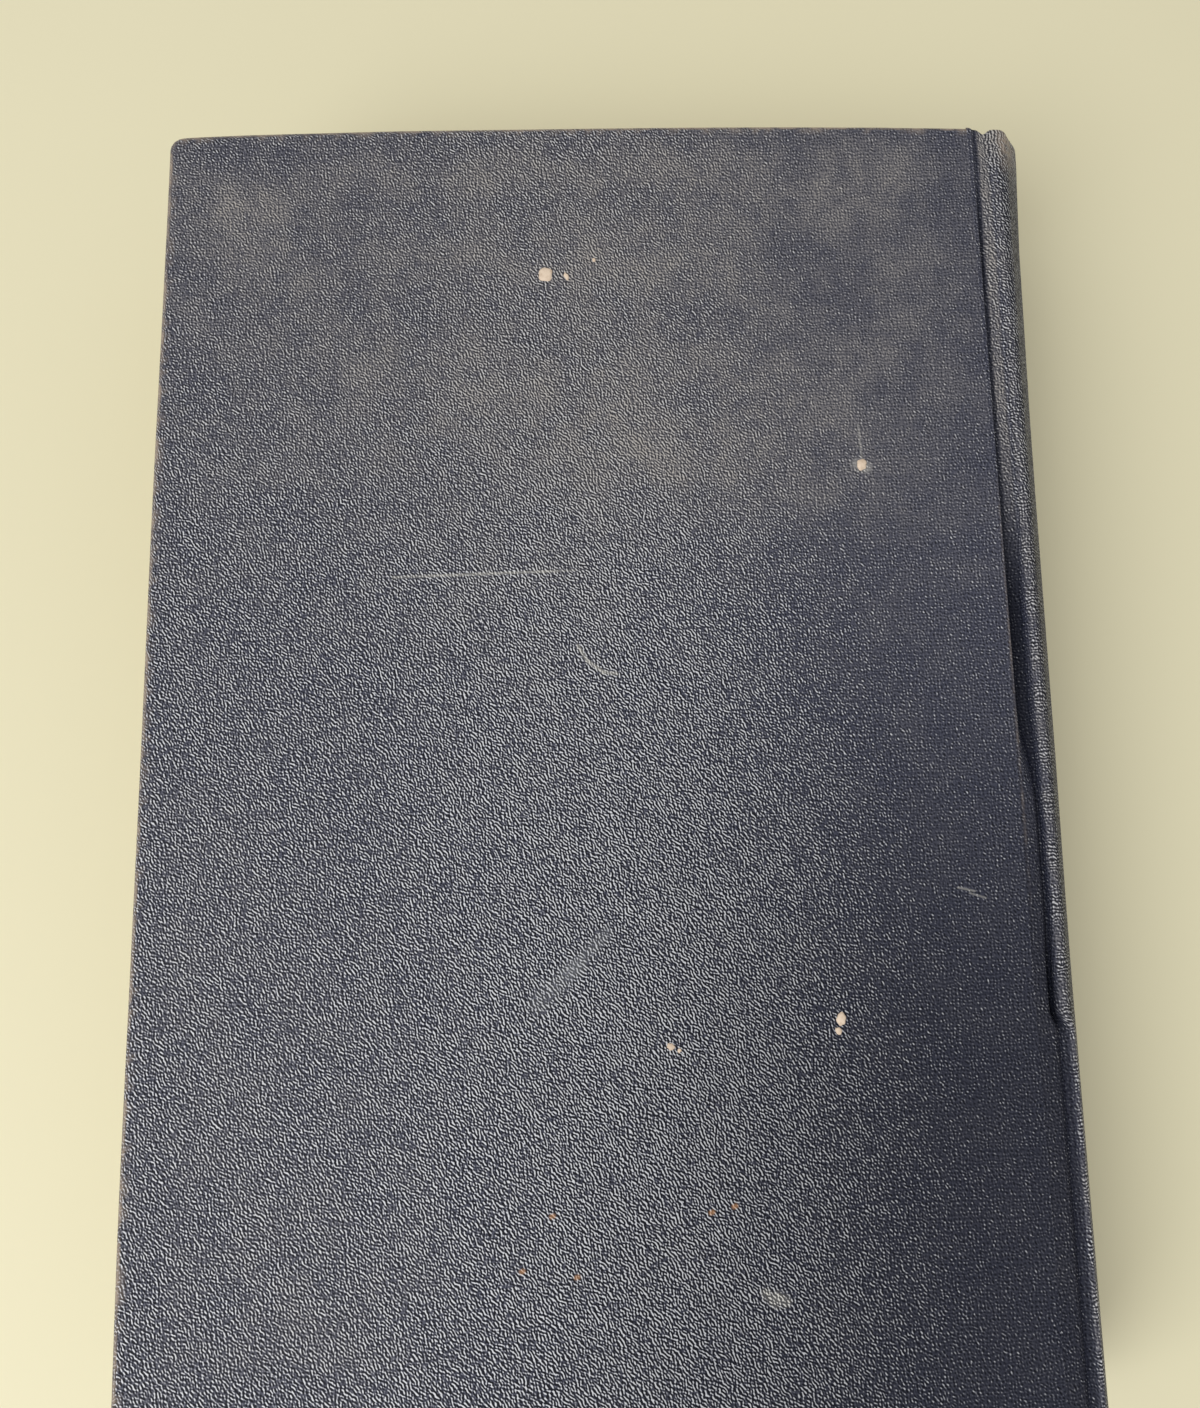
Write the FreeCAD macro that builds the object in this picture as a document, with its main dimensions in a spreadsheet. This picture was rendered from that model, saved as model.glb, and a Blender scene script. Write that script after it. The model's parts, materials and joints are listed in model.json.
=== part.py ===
import FreeCAD, Part
import math
import os
import Sketcher

# A cloth hardback with a rounded and backed spine. It lies closed, rear cover up.
# +X points to the spine, +Y to the head and +Z up. The origin is under the middle of the book.

SIZES = {
    "page_height": 216.0,        # leaf, head to tail
    "page_width": 142.0,         # outermost leaf, fore edge to shoulder tip
    "block_thickness": 30.6,     # leaves pressed together
    "section_count": 22,         # folded sections sewn together
    "fold_notch_width": 0.5,     # dip between two folds, along the spine's round
    "fold_notch_depth": 0.35,    # the same dip, into the block
    "spine_round": 5.0,          # how far the spine bulges past its shoulder tips
    "fore_edge_hollow": 4.2,     # how far the fore edge is hollowed
    "kerf_count": 5,             # sewing stations
    "kerf_pitch": 42.0,          # from one station to the next
    "kerf_width": 0.8,           # saw cut that holds the thread
    "kerf_depth": 0.8,
    "thread_diameter": 0.6,
    "paper_thickness": 0.2,      # endpaper
    "mull_thickness": 0.15,      # open cotton glued over the folds
    "mull_margin": 8.0,          # mull stops this far from head and tail
    "mull_flange": 25.0,         # mull glued to the inside of a board
    "lining_thickness": 0.15,    # paper over the mull
    "lining_margin": 1.0,        # lining stops this far from head and tail
    "lining_inset": 0.8,         # lining and inlay stop this far from the shoulder tips
    "hollow_gap": 0.5,           # air between the lining and the case
    "inlay_thickness": 0.35,     # card strip that stiffens the case's spine
    "cloth_thickness": 0.4,      # book cloth with its glue
    "turn_in": 15.0,             # cloth folded over a board's inner face
    "mitre_gap": 0.3,            # between the turn-ins where they meet at a corner
    "board_thickness": 2.8,
    "board_square": 3.0,         # cover reaches this far past the leaves
    "board_corner": 2.2,         # rounding of the worn board corners
    "board_edge": 0.5,           # rounding of the pressed board edges
    "closing_gap": 0.1,          # between pastedown and flyleaf, cover shut
    "fit_gap": 0.02,             # play that lets glued layers lie face to face
    "groove_depth": 2.4,         # French joint, below the board's outer face
    "groove_radius": 1.2,
    "ridge_drop": 0.2,           # shoulder ridge stays this far below the board's outer face
    "seam_inset": 3.0,           # bending strip of the cloth starts this far onto the board
    "bead_diameter": 1.8,        # headband's rolled edge
    "headband_tape": 6.0,        # headband's tape glued to the folds
}

PAST = 1.0         # cuts run this far past the solid they open
PICK_WITHIN = 0.1  # an edge this near a level counts as lying on it

doc = FreeCAD.newDocument("hardback_book")
sheet = doc.addObject("Spreadsheet::Sheet", "Sizes")
for row, (alias, number) in enumerate(SIZES.items(), start=1):
    sheet.set("A%d" % row, alias.replace("_", " "))
    sheet.set("B%d" % row, str(number))
    sheet.setAlias("B%d" % row, alias)
doc.recompute()


class Term:
    """A length worked out from the sheet: its number now, and the expression that keeps it true."""

    def __init__(self, number, text):
        self.number = float(number)
        self.text = text

    def __add__(self, other):
        other = term(other)
        return Term(self.number + other.number, "(%s + %s)" % (self.text, other.text))

    def __sub__(self, other):
        other = term(other)
        return Term(self.number - other.number, "(%s - %s)" % (self.text, other.text))

    def __mul__(self, other):
        other = term(other)
        return Term(self.number * other.number, "(%s * %s)" % (self.text, other.text))

    def __truediv__(self, other):
        other = term(other)
        return Term(self.number / other.number, "(%s / %s)" % (self.text, other.text))

    def __neg__(self):
        return Term(-self.number, "(0 - %s)" % self.text)


def term(value):
    """Return value as a Term; a plain number stays the same number."""
    return value if isinstance(value, Term) else Term(value, repr(float(value)))


def size(alias):
    """Return the sheet's cell with this alias as a Term."""
    return Term(sheet.get(alias), "Sizes.%s" % alias)


def root(value):
    """Return the square root of a Term."""
    return Term(math.sqrt(value.number), "sqrt(%s)" % value.text)


def double_angle(value):
    """Return twice the angle in degrees whose sine is a Term."""
    return Term(2 * math.degrees(math.asin(value.number)), "(2 * asin(%s))" % value.text)


# Levels above the book's middle plane, for the rear half; the front half is the same turned over
cloth = size("cloth_thickness")
paper = size("paper_thickness")
fit = size("fit_gap")
half_block = size("block_thickness") / 2
flyleaf_top = half_block + paper
pastedown_face = flyleaf_top + size("closing_gap")
turn_in_face = pastedown_face + paper
board_inner = turn_in_face + cloth
board_outer = board_inner + size("board_thickness")
cover_top = board_outer + cloth

# Radii of the layers over the rounded spine, all about one centre line
case_offset = (size("mull_thickness") + size("lining_thickness") + size("hollow_gap")
               + size("inlay_thickness") + cloth)
shoulder_height = cover_top - size("ridge_drop") - case_offset - half_block
tip_z = half_block + shoulder_height
bulge = size("spine_round")
spine_radius = (tip_z * tip_z + bulge * bulge) / (bulge * 2)
mull_radius = spine_radius + size("mull_thickness")
lining_radius = mull_radius + size("lining_thickness")
inlay_radius = lining_radius + size("hollow_gap")
skin_radius = inlay_radius + size("inlay_thickness")
outer_radius = skin_radius + cloth

# Stations across the book, with the overall width centred on the origin
overall_width = size("page_width") + size("board_square") + bulge + case_offset
tip_x = overall_width / 2 - bulge - case_offset
fore_x = tip_x - size("page_width")
centre_x = tip_x + bulge - spine_radius

# Case cloth at the shoulder: a ridge about the tip, then a groove that touches it
ridge_radius = case_offset
groove_radius = size("groove_radius")
groove_z = cover_top - size("groove_depth") + groove_radius
rise = groove_z - tip_z
reach = ridge_radius + groove_radius
run = root(reach * reach - rise * rise)
groove_x = tip_x - run
lean_x = -(run / reach)
lean_z = rise / reach
spine_lean_x = (tip_x - centre_x) / spine_radius
spine_lean_z = tip_z / spine_radius

# Cover outline
cover_edge_x = groove_x - groove_radius
board_spine_x = cover_edge_x - cloth - fit
board_fore_x = fore_x - size("board_square") + cloth
seam_x = cover_edge_x - size("seam_inset")
half_page = size("page_height") / 2
half_cover = half_page + size("board_square")
half_board = half_cover - cloth
flange_x = board_spine_x - size("mull_flange")


def bind(thing, name, value):
    """Set a property or constraint to a Term's number and bind it to its expression."""
    thing.setExpression(name, term(value).text)


def origin_plane(body, role):
    """Return the plane of a body's own origin that has this role."""
    return [plane for plane in body.Origin.OriginFeatures if plane.Role == role][0]


def new_body(label):
    """Return an empty body that is named after its sub-part."""
    body = doc.addObject("PartDesign::Body", label)
    body.Label = label
    return body


def new_sketch(body, name, role, shift=None, along=None):
    """Return a sketch on a body's origin plane, moved by shift off it and by along within it."""
    sketch = body.newObject("Sketcher::SketchObject", name)
    sketch.AttachmentSupport = [(origin_plane(body, role), "")]
    sketch.MapMode = "FlatFace"
    if shift is not None:
        bind(sketch, "AttachmentOffset.Base.z", shift)
    if along is not None:
        bind(sketch, "AttachmentOffset.Base.x", along)
    return sketch


def arc_between(start, end, radius, left):
    """Return the short arc between two points whose centre lies left or right of the way there."""
    chord = end - start
    half = chord.Length / 2
    across = FreeCAD.Vector(-chord.y, chord.x, 0).normalize()
    if not left:
        across = -across
    centre = start + chord / 2 + across * math.sqrt(max(radius * radius - half * half, 0.0))
    circle = Part.Circle(centre, FreeCAD.Vector(0, 0, 1), radius)
    first, last = (start, end) if left else (end, start)
    return Part.ArcOfCircle(circle, circle.parameter(first), circle.parameter(last))


def outline(sketch, corners):
    """Draw a closed outline. Each corner is (x, y) or (x, y, radius, side) for an arc that leaves it."""
    points = [FreeCAD.Vector(term(c[0]).number, term(c[1]).number, 0) for c in corners]
    count = len(corners)
    edges = []
    for i, corner in enumerate(corners):
        start, end = points[i], points[(i + 1) % count]
        if len(corner) == 2:
            edges.append((sketch.addGeometry(Part.LineSegment(start, end), False), 1, 2))
            continue
        left = corner[3] == "left"
        arc = sketch.addGeometry(arc_between(start, end, corner[2].number, left), False)
        edges.append((arc, 1, 2) if left else (arc, 2, 1))
        place = sketch.addConstraint(Sketcher.Constraint("Radius", arc, corner[2].number))
        bind(sketch, "Constraints[%d]" % place, corner[2])
    for i, corner in enumerate(corners):
        edge, start, _ = edges[i]
        before, _, end = edges[i - 1]
        sketch.addConstraint(Sketcher.Constraint("Coincident", before, end, edge, start))
        for kind, value in (("DistanceX", corner[0]), ("DistanceY", corner[1])):
            value = term(value)
            place = sketch.addConstraint(Sketcher.Constraint(kind, -1, 1, edge, start, value.number))
            bind(sketch, "Constraints[%d]" % place, value)
    return sketch


def rectangle(sketch, low_x, high_x, low_y, high_y):
    """Draw a rectangle between two pairs of bound coordinates."""
    return outline(sketch, [(low_x, low_y), (high_x, low_y), (high_x, high_y), (low_x, high_y)])


def sector(sketch, inner, outer, inset):
    """Draw a band about the spine's centre line that stops short of both shoulder tips by inset."""
    reach_z = spine_lean_z - inset / spine_radius
    reach_x = root(term(1) - reach_z * reach_z)
    return outline(sketch, [
        (centre_x + inner * reach_x, -(inner * reach_z)),
        (centre_x + outer * reach_x, -(outer * reach_z), outer, "left"),
        (centre_x + outer * reach_x, outer * reach_z),
        (centre_x + inner * reach_x, inner * reach_z, inner, "right"),
    ])


def extrude(body, kind, name, sketch, length, symmetric=False, backwards=False):
    """Add a Pad or Pocket of a sketch to a body, with its length bound."""
    feature = body.newObject("PartDesign::" + kind, name)
    feature.Profile = sketch
    feature.SideType = "Symmetric" if symmetric else "One side"
    feature.Reversed = backwards
    bind(feature, "Length", length)
    sketch.Visibility = False
    doc.recompute()
    return feature


def revolve(body, name, sketch, inset):
    """Turn a sketch about its own Y axis, short of both shoulder tips by inset."""
    feature = body.newObject("PartDesign::Revolution", name)
    feature.Profile = sketch
    feature.ReferenceAxis = (sketch, ["V_Axis"])
    feature.Midplane = True
    bind(feature, "Angle", double_angle(spine_lean_z - inset / spine_radius))
    sketch.Visibility = False
    doc.recompute()
    return feature


def round_edges(body, name, radius, chosen):
    """Fillet the edges of a body's tip that the function chosen picks."""
    solid = body.Tip
    names = ["Edge%d" % (i + 1) for i, edge in enumerate(solid.Shape.Edges) if chosen(edge)]
    fillet = body.newObject("PartDesign::Fillet", name)
    fillet.Base = (solid, names)
    bind(fillet, "Radius", radius)
    body.Tip = fillet
    doc.recompute()
    return fillet


def runs_along(edge, axis):
    """Tell whether a straight edge runs along X, Y or Z, given as 0, 1 or 2."""
    if not isinstance(edge.Curve, Part.Line):
        return False
    return abs(abs(edge.Curve.Direction[axis]) - 1) < 1e-6


def stand(thing, turned_over=False):
    """Place a piece of the book's middle plane at its height, turned over for the front half."""
    if turned_over:
        thing.Placement.Rotation = FreeCAD.Rotation(FreeCAD.Vector(1, 0, 0), 180)
    bind(thing, "Placement.Base.z", cover_top)


def make_text_block():
    """Build the leaves: hollow fore edge, backed shoulders, a dip between the folds, sawn stations."""
    body = new_body("text_block")
    hollow = size("fore_edge_hollow")
    fore_radius = (half_block * half_block + hollow * hollow) / (hollow * 2)
    shoulder_x = tip_x - shoulder_height
    profile = outline(new_sketch(body, "leaf_profile", "XZ_Plane"), [
        (fore_x, -half_block),
        (shoulder_x, -half_block, shoulder_height, "right"),
        (tip_x, -tip_z, spine_radius, "left"),
        (tip_x, tip_z, shoulder_height, "right"),
        (shoulder_x, half_block),
        (fore_x, half_block, fore_radius, "right"),
    ])
    extrude(body, "Pad", "leaves", profile, size("page_height"), symmetric=True)

    notch = new_sketch(body, "fold_dip", "XZ_Plane", along=centre_x)
    wide = size("fold_notch_width") / 2
    outline(notch, [
        (spine_radius - size("fold_notch_depth"), 0),
        (spine_radius + fit, -wide),
        (spine_radius + fit, wide),
    ])
    dip = extrude(body, "Pocket", "fold_dip_cut", notch, size("page_height") + PAST, symmetric=True)
    folds = body.newObject("PartDesign::PolarPattern", "folds")
    folds.Originals = [dip]
    folds.Axis = (notch, ["N_Axis"])
    dips_each_side = (int(size("section_count").number) - 1) // 2
    fold_angle = double_angle(spine_lean_z) / size("section_count") * dips_each_side
    bind(folds, "Angle", fold_angle)
    folds.Occurrences = dips_each_side + 1
    body.Tip = folds
    doc.recompute()
    below = body.newObject("PartDesign::PolarPattern", "folds_below")
    below.Originals = [dip]
    below.Axis = (notch, ["N_Axis"])
    below.Reversed = True
    bind(below, "Angle", fold_angle)
    below.Occurrences = dips_each_side + 1
    body.Tip = below
    doc.recompute()

    first = (size("kerf_count") - 1) * size("kerf_pitch") / 2
    station = new_sketch(body, "station", "XZ_Plane", shift=-first - size("kerf_width") / 2)
    sector(station, spine_radius - size("kerf_depth"), spine_radius + PAST, size("lining_inset"))
    cut = extrude(body, "Pocket", "station_cut", station, size("kerf_width"), backwards=True)
    stations = body.newObject("PartDesign::LinearPattern", "stations")
    stations.Originals = [cut]
    stations.Direction = (station, ["N_Axis"])
    bind(stations, "Length", first * 2)
    bind(stations, "Occurrences", size("kerf_count"))
    body.Tip = stations
    stand(body)
    return body


def make_sewing_thread():
    """Build the thread: one run over the folds in each sawn station, pressed nearly round."""
    body = new_body("sewing_thread")
    body.AllowCompound = True
    flat = size("thread_diameter") / 2
    nip = flat * (math.sqrt(2) - 1)
    middle_x = spine_radius - size("kerf_depth") / 2
    first_y = -((size("kerf_count") - 1) * size("kerf_pitch") / 2)
    section = outline(new_sketch(body, "thread_section", "XY_Plane", along=centre_x), [
        (middle_x + across, first_y + lengthwise)
        for across, lengthwise in ((flat, -nip), (flat, nip), (nip, flat), (-nip, flat),
                                   (-flat, nip), (-flat, -nip), (-nip, -flat), (nip, -flat))
    ])
    run_over_folds = revolve(body, "thread_run", section, size("lining_inset") * 2)
    runs = body.newObject("PartDesign::LinearPattern", "thread_runs")
    runs.Originals = [run_over_folds]
    runs.Direction = (section, ["V_Axis"])
    bind(runs, "Length", -(first_y * 2))
    bind(runs, "Occurrences", size("kerf_count"))
    body.Tip = runs
    stand(body)
    return body


def make_band(label, inner, outer, inset, length):
    """Build one layer glued round the spine: a band between two radii, centred head to tail."""
    body = new_body(label)
    sketch = sector(new_sketch(body, label + "_section", "XZ_Plane"), inner, outer, inset)
    extrude(body, "Pad", label + "_band", sketch, length, symmetric=True)
    stand(body)
    return body


def make_headband(label, turned):
    """Build a headband: a tape on the folds and a rolled bead standing on the leaves' ends."""
    body = new_body(label)
    bead = size("bead_diameter") / 2
    inset = size("lining_inset") * 2
    tape = new_sketch(body, label + "_tape_section", "XZ_Plane",
                      shift=-half_page - bead)
    sector(tape, spine_radius + fit, mull_radius, inset)
    extrude(body, "Pad", label + "_tape", tape, size("headband_tape") + bead)
    roll = new_sketch(body, label + "_roll_section", "XY_Plane", along=centre_x)
    circle = roll.addGeometry(Part.Circle(
        FreeCAD.Vector(mull_radius.number - bead.number, half_page.number + bead.number, 0),
        FreeCAD.Vector(0, 0, 1), bead.number), False)
    for kind, value in (("DistanceX", mull_radius - bead), ("DistanceY", half_page + bead + fit)):
        place = roll.addConstraint(Sketcher.Constraint(kind, -1, 1, circle, 3, value.number))
        bind(roll, "Constraints[%d]" % place, value)
    place = roll.addConstraint(Sketcher.Constraint("Radius", circle, bead.number))
    bind(roll, "Constraints[%d]" % place, bead)
    revolve(body, label + "_roll", roll, inset)
    stand(body, turned)
    return body


def make_flyleaf(label, turned):
    """Build a flyleaf: a leaf on the block that follows the shoulder up to its tip."""
    body = new_body(label)
    shoulder_x = tip_x - shoulder_height
    bend = shoulder_height - fit
    profile = outline(new_sketch(body, label + "_profile", "XZ_Plane"), [
        (fore_x, half_block + fit),
        (shoulder_x, half_block + fit, bend, "left"),
        (tip_x - fit, tip_z),
        (tip_x - paper, tip_z, shoulder_height - paper, "right"),
        (shoulder_x, flyleaf_top),
        (fore_x, flyleaf_top),
    ])
    extrude(body, "Pad", label + "_leaf", profile, size("page_height"), symmetric=True)
    stand(body, turned)
    return body


def make_board(label, turned):
    """Build a binder's board with worn fore corners and pressed edges."""
    body = new_body(label)
    sketch = rectangle(new_sketch(body, label + "_outline", "XY_Plane", shift=board_inner + fit),
                       board_fore_x + fit, board_spine_x, -half_board + fit, half_board - fit)
    extrude(body, "Pad", label + "_slab", sketch, size("board_thickness") - fit * 2)
    round_edges(body, label + "_corners", size("board_corner"),
                lambda edge: runs_along(edge, 2) and edge.CenterOfMass.x < 0)
    round_edges(body, label + "_edges", size("board_edge"),
                lambda edge: edge.BoundBox.ZMin > board_outer.number - PICK_WITHIN)
    stand(body, turned)
    return body


def make_cover_cloth(label, turned):
    """Build a cover's cloth: outer face, wrapped edges and turn-ins that meet in mitres."""
    body = new_body(label)
    window = size("turn_in") - cloth
    past_spine_edge = board_spine_x + PAST
    wrap_end_x = board_spine_x - size("board_edge")
    wrap = rectangle(new_sketch(body, label + "_outline", "XY_Plane", shift=turn_in_face),
                     board_fore_x - cloth, wrap_end_x, -half_cover, half_cover)
    extrude(body, "Pad", label + "_wrap", wrap, cover_top - turn_in_face)
    round_edges(body, label + "_corners", size("board_corner") + cloth,
                lambda edge: runs_along(edge, 2) and edge.CenterOfMass.x < 0)
    round_edges(body, label + "_edges", size("board_edge") + cloth / 2,
                lambda edge: edge.BoundBox.ZMin > cover_top.number - PICK_WITHIN
                and edge.BoundBox.XMin < seam_x.number)
    strip = rectangle(new_sketch(body, label + "_strip", "XY_Plane", shift=board_outer),
                      seam_x, past_spine_edge, -half_cover - PAST, half_cover + PAST)
    extrude(body, "Pocket", label + "_strip_cut", strip, cloth * 2, backwards=True)
    seat = rectangle(new_sketch(body, label + "_seat", "XY_Plane", shift=board_inner),
                     board_fore_x, past_spine_edge, -half_board, half_board)
    extrude(body, "Pocket", label + "_board_seat", seat, size("board_thickness"), backwards=True)
    opening = rectangle(new_sketch(body, label + "_window", "XY_Plane", shift=turn_in_face),
                        board_fore_x + window, past_spine_edge, -half_board + window, half_board - window)
    extrude(body, "Pocket", label + "_window_cut", opening, cloth, backwards=True)
    start = size("board_corner")
    half_gap = size("mitre_gap") / 2
    for side, end in ((1, "head"), (-1, "tail")):
        corner_y = half_board * side
        mitre = outline(new_sketch(body, "%s_%s_mitre" % (label, end), "XY_Plane", shift=turn_in_face), [
            (board_fore_x + start - half_gap, corner_y - start * side),
            (board_fore_x + start + half_gap, corner_y - start * side),
            (board_fore_x + window + half_gap, corner_y - window * side),
            (board_fore_x + window - half_gap, corner_y - window * side),
        ])
        extrude(body, "Pocket", "%s_%s_mitre_cut" % (label, end), mitre, cloth, backwards=True)
    stand(body, turned)
    return body


def make_mull_flange(label, turned):
    """Build the part of the mull that is glued to the inside of a board."""
    body = new_body(label)
    half_mull = half_page - size("turn_in")
    sketch = rectangle(new_sketch(body, label + "_outline", "XY_Plane",
                                  shift=board_inner - size("mull_thickness")),
                       flange_x, board_spine_x, -half_mull, half_mull)
    extrude(body, "Pad", label + "_strip", sketch, size("mull_thickness"))
    stand(body, turned)
    return body


def make_pastedown(label, turned):
    """Build a pastedown: over the turn-ins at its rim, sunk onto the board inside them."""
    body = new_body(label)
    window = size("turn_in") - cloth + fit
    sheet_outline = rectangle(new_sketch(body, label + "_outline", "XY_Plane", shift=pastedown_face),
                              fore_x, board_spine_x, -half_page, half_page)
    extrude(body, "Pad", label + "_sheet", sheet_outline, paper - fit)
    plug = rectangle(new_sketch(body, label + "_plug", "XY_Plane", shift=pastedown_face),
                     board_fore_x + window, board_spine_x, -half_board + window, half_board - window)
    extrude(body, "Pad", label + "_plug_pad", plug, board_inner - pastedown_face)
    half_mull = half_page - size("turn_in") + fit
    recess = rectangle(new_sketch(body, label + "_recess", "XY_Plane",
                                  shift=board_inner - size("mull_thickness") - fit),
                       flange_x - fit, board_spine_x + PAST, -half_mull, half_mull)
    extrude(body, "Pocket", label + "_recess_cut", recess, size("mull_thickness") * 2, backwards=True)
    dish = rectangle(new_sketch(body, label + "_dish", "XY_Plane", shift=pastedown_face),
                     board_fore_x + window + paper, flange_x - paper,
                     -half_board + window + paper, half_board - window - paper)
    extrude(body, "Pocket", label + "_dish_cut", dish, cloth, backwards=True)
    stand(body, turned)
    return body


def make_spine_cloth():
    """Build the spine's cloth: ridge to ridge over the round, turned in over the inlay's ends."""
    body = new_body("spine_cloth")
    inner_ridge = ridge_radius - cloth
    ends = []
    for radius in (ridge_radius, inner_ridge):
        ends.append((tip_x + radius * lean_x, tip_z + radius * lean_z,
                     tip_x + radius * spine_lean_x, tip_z + radius * spine_lean_z))
    (out_groove_x, out_groove_z, out_join_x, out_join_z) = ends[0]
    (in_groove_x, in_groove_z, in_join_x, in_join_z) = ends[1]
    profile = outline(new_sketch(body, "spine_cloth_profile", "XZ_Plane"), [
        (out_groove_x, -out_groove_z, ridge_radius, "left"),
        (out_join_x, -out_join_z, outer_radius, "left"),
        (out_join_x, out_join_z, ridge_radius, "left"),
        (out_groove_x, out_groove_z),
        (in_groove_x, in_groove_z, inner_ridge, "right"),
        (in_join_x, in_join_z, skin_radius, "right"),
        (in_join_x, -in_join_z, inner_ridge, "right"),
        (in_groove_x, -in_groove_z),
    ])
    extrude(body, "Pad", "spine_cloth_skin", profile, half_cover * 2, symmetric=True)
    inset = size("lining_inset")
    turned_in = sector(new_sketch(body, "spine_turn_in", "XZ_Plane"),
                       inlay_radius - cloth, skin_radius + cloth / 2, inset)
    extrude(body, "Pad", "spine_turn_in_pad", turned_in, half_cover * 2, symmetric=True)
    slot = sector(new_sketch(body, "inlay_slot", "XZ_Plane"), inlay_radius, skin_radius, inset / 2)
    extrude(body, "Pocket", "inlay_slot_cut", slot, half_board * 2, symmetric=True)
    bay = sector(new_sketch(body, "hollow_bay", "XZ_Plane"),
                 inlay_radius - cloth * 2, inlay_radius + size("inlay_thickness") / 2, inset / 2)
    extrude(body, "Pocket", "hollow_bay_cut", bay, (half_cover - size("turn_in")) * 2, symmetric=True)
    stand(body)
    return body


def make_joint_cloth(label, turned):
    """Build the strip of cloth that bends: down the board's edge, round the groove, to the ridge."""
    body = new_body(label)
    edge = size("board_edge") + cloth
    below = groove_radius + cloth
    wall_x = cover_edge_x - cloth
    profile = outline(new_sketch(body, label + "_profile", "XZ_Plane"), [
        (seam_x, cover_top),
        (seam_x, board_outer),
        (cover_edge_x - edge, board_outer, size("board_edge"), "right"),
        (wall_x, cover_top - edge),
        (wall_x, groove_z, below, "left"),
        (groove_x - below * lean_x, groove_z - below * lean_z),
        (groove_x - groove_radius * lean_x, groove_z - groove_radius * lean_z, groove_radius, "right"),
        (cover_edge_x, groove_z),
        (cover_edge_x, cover_top - edge, edge, "left"),
        (cover_edge_x - edge, cover_top),
    ])
    extrude(body, "Pad", label + "_strip", profile, half_cover * 2, symmetric=True)
    stand(body, turned)
    return body


def make_all():
    """Build every sub-part of the book and return them in order."""
    cover_length = half_board * 2 - fit * 2
    parts = [make_text_block(), make_sewing_thread()]
    parts.append(make_band("mull", spine_radius + fit, mull_radius, size("fit_gap"),
                           size("page_height") - size("mull_margin") * 2))
    parts.append(make_band("spine_lining", mull_radius + fit, lining_radius, size("lining_inset"),
                           size("page_height") - size("lining_margin") * 2))
    parts.append(make_band("spine_inlay", inlay_radius + fit, skin_radius - fit, size("lining_inset"),
                           cover_length))
    parts.append(make_headband("headband", False))
    parts.append(make_headband("tailband", True))
    parts.append(make_spine_cloth())
    for half, turned in (("rear", False), ("front", True)):
        parts.append(make_flyleaf(half + "_flyleaf", turned))
        parts.append(make_joint_cloth(half + "_joint_cloth", turned))
        parts.append(make_board(half + "_board", turned))
        parts.append(make_cover_cloth(half + "_cover_cloth", turned))
        parts.append(make_mull_flange(half + "_mull_flange", turned))
        parts.append(make_pastedown(half + "_pastedown", turned))
    return parts


def check_and_write(parts):
    """Stop on any failed object or bad shape, then write one STEP file for each sub-part."""
    doc.recompute()
    for thing in doc.Objects:
        if "Invalid" in thing.State or "Error" in thing.State:
            raise RuntimeError("failed object: %s %s" % (thing.Label, thing.State))
    for part in parts:
        if part.Shape.isNull() or not part.Shape.isValid() or not part.Shape.Solids:
            raise RuntimeError("bad shape: " + part.Label)
    os.makedirs("parts", exist_ok=True)
    for part in parts:
        part.Shape.exportStep("parts/%s.step" % part.Label)
        box = part.Shape.BoundBox
        print("%-20s solids %d  volume %9.1f  x %7.2f %7.2f  y %7.2f %7.2f  z %6.2f %6.2f" % (
            part.Label, len(part.Shape.Solids), part.Shape.Volume,
            box.XMin, box.XMax, box.YMin, box.YMax, box.ZMin, box.ZMax))
    print("hinge x %.3f  height %.3f" % (groove_x.number, cover_top.number))


check_and_write(make_all())
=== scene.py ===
"""A cloth hardback book lying rear cover up: its looks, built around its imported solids."""
import json
import logging
import math
from dataclasses import dataclass, field
from enum import Enum
from typing import Callable, Dict, List, Optional, Sequence, Tuple

import bmesh
import bpy
import numpy as np
from mathutils import Euler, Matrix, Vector


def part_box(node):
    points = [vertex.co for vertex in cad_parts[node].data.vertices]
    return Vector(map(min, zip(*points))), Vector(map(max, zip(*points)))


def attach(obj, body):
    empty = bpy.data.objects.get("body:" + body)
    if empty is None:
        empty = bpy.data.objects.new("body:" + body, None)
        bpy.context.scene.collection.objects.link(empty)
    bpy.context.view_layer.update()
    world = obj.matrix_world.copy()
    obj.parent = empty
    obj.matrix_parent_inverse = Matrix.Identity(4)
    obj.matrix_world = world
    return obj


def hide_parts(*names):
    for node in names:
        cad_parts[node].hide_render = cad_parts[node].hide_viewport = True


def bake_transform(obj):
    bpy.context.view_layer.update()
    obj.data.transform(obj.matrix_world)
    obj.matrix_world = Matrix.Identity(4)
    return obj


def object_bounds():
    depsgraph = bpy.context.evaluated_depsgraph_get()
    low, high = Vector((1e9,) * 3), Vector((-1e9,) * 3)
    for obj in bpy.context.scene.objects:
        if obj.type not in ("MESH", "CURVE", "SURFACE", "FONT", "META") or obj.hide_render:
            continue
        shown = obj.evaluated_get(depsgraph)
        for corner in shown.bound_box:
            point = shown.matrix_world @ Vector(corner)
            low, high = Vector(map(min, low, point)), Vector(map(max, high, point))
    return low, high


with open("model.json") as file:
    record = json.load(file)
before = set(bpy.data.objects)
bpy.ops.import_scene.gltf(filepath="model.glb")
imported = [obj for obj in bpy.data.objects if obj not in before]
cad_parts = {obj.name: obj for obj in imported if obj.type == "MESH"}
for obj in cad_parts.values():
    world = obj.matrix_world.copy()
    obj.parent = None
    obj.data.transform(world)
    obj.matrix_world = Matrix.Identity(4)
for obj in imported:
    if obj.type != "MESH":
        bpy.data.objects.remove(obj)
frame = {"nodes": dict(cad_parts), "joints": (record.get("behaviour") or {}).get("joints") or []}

logging.basicConfig(level=logging.INFO, format="%(message)s")
log = logging.getLogger("book")

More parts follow.
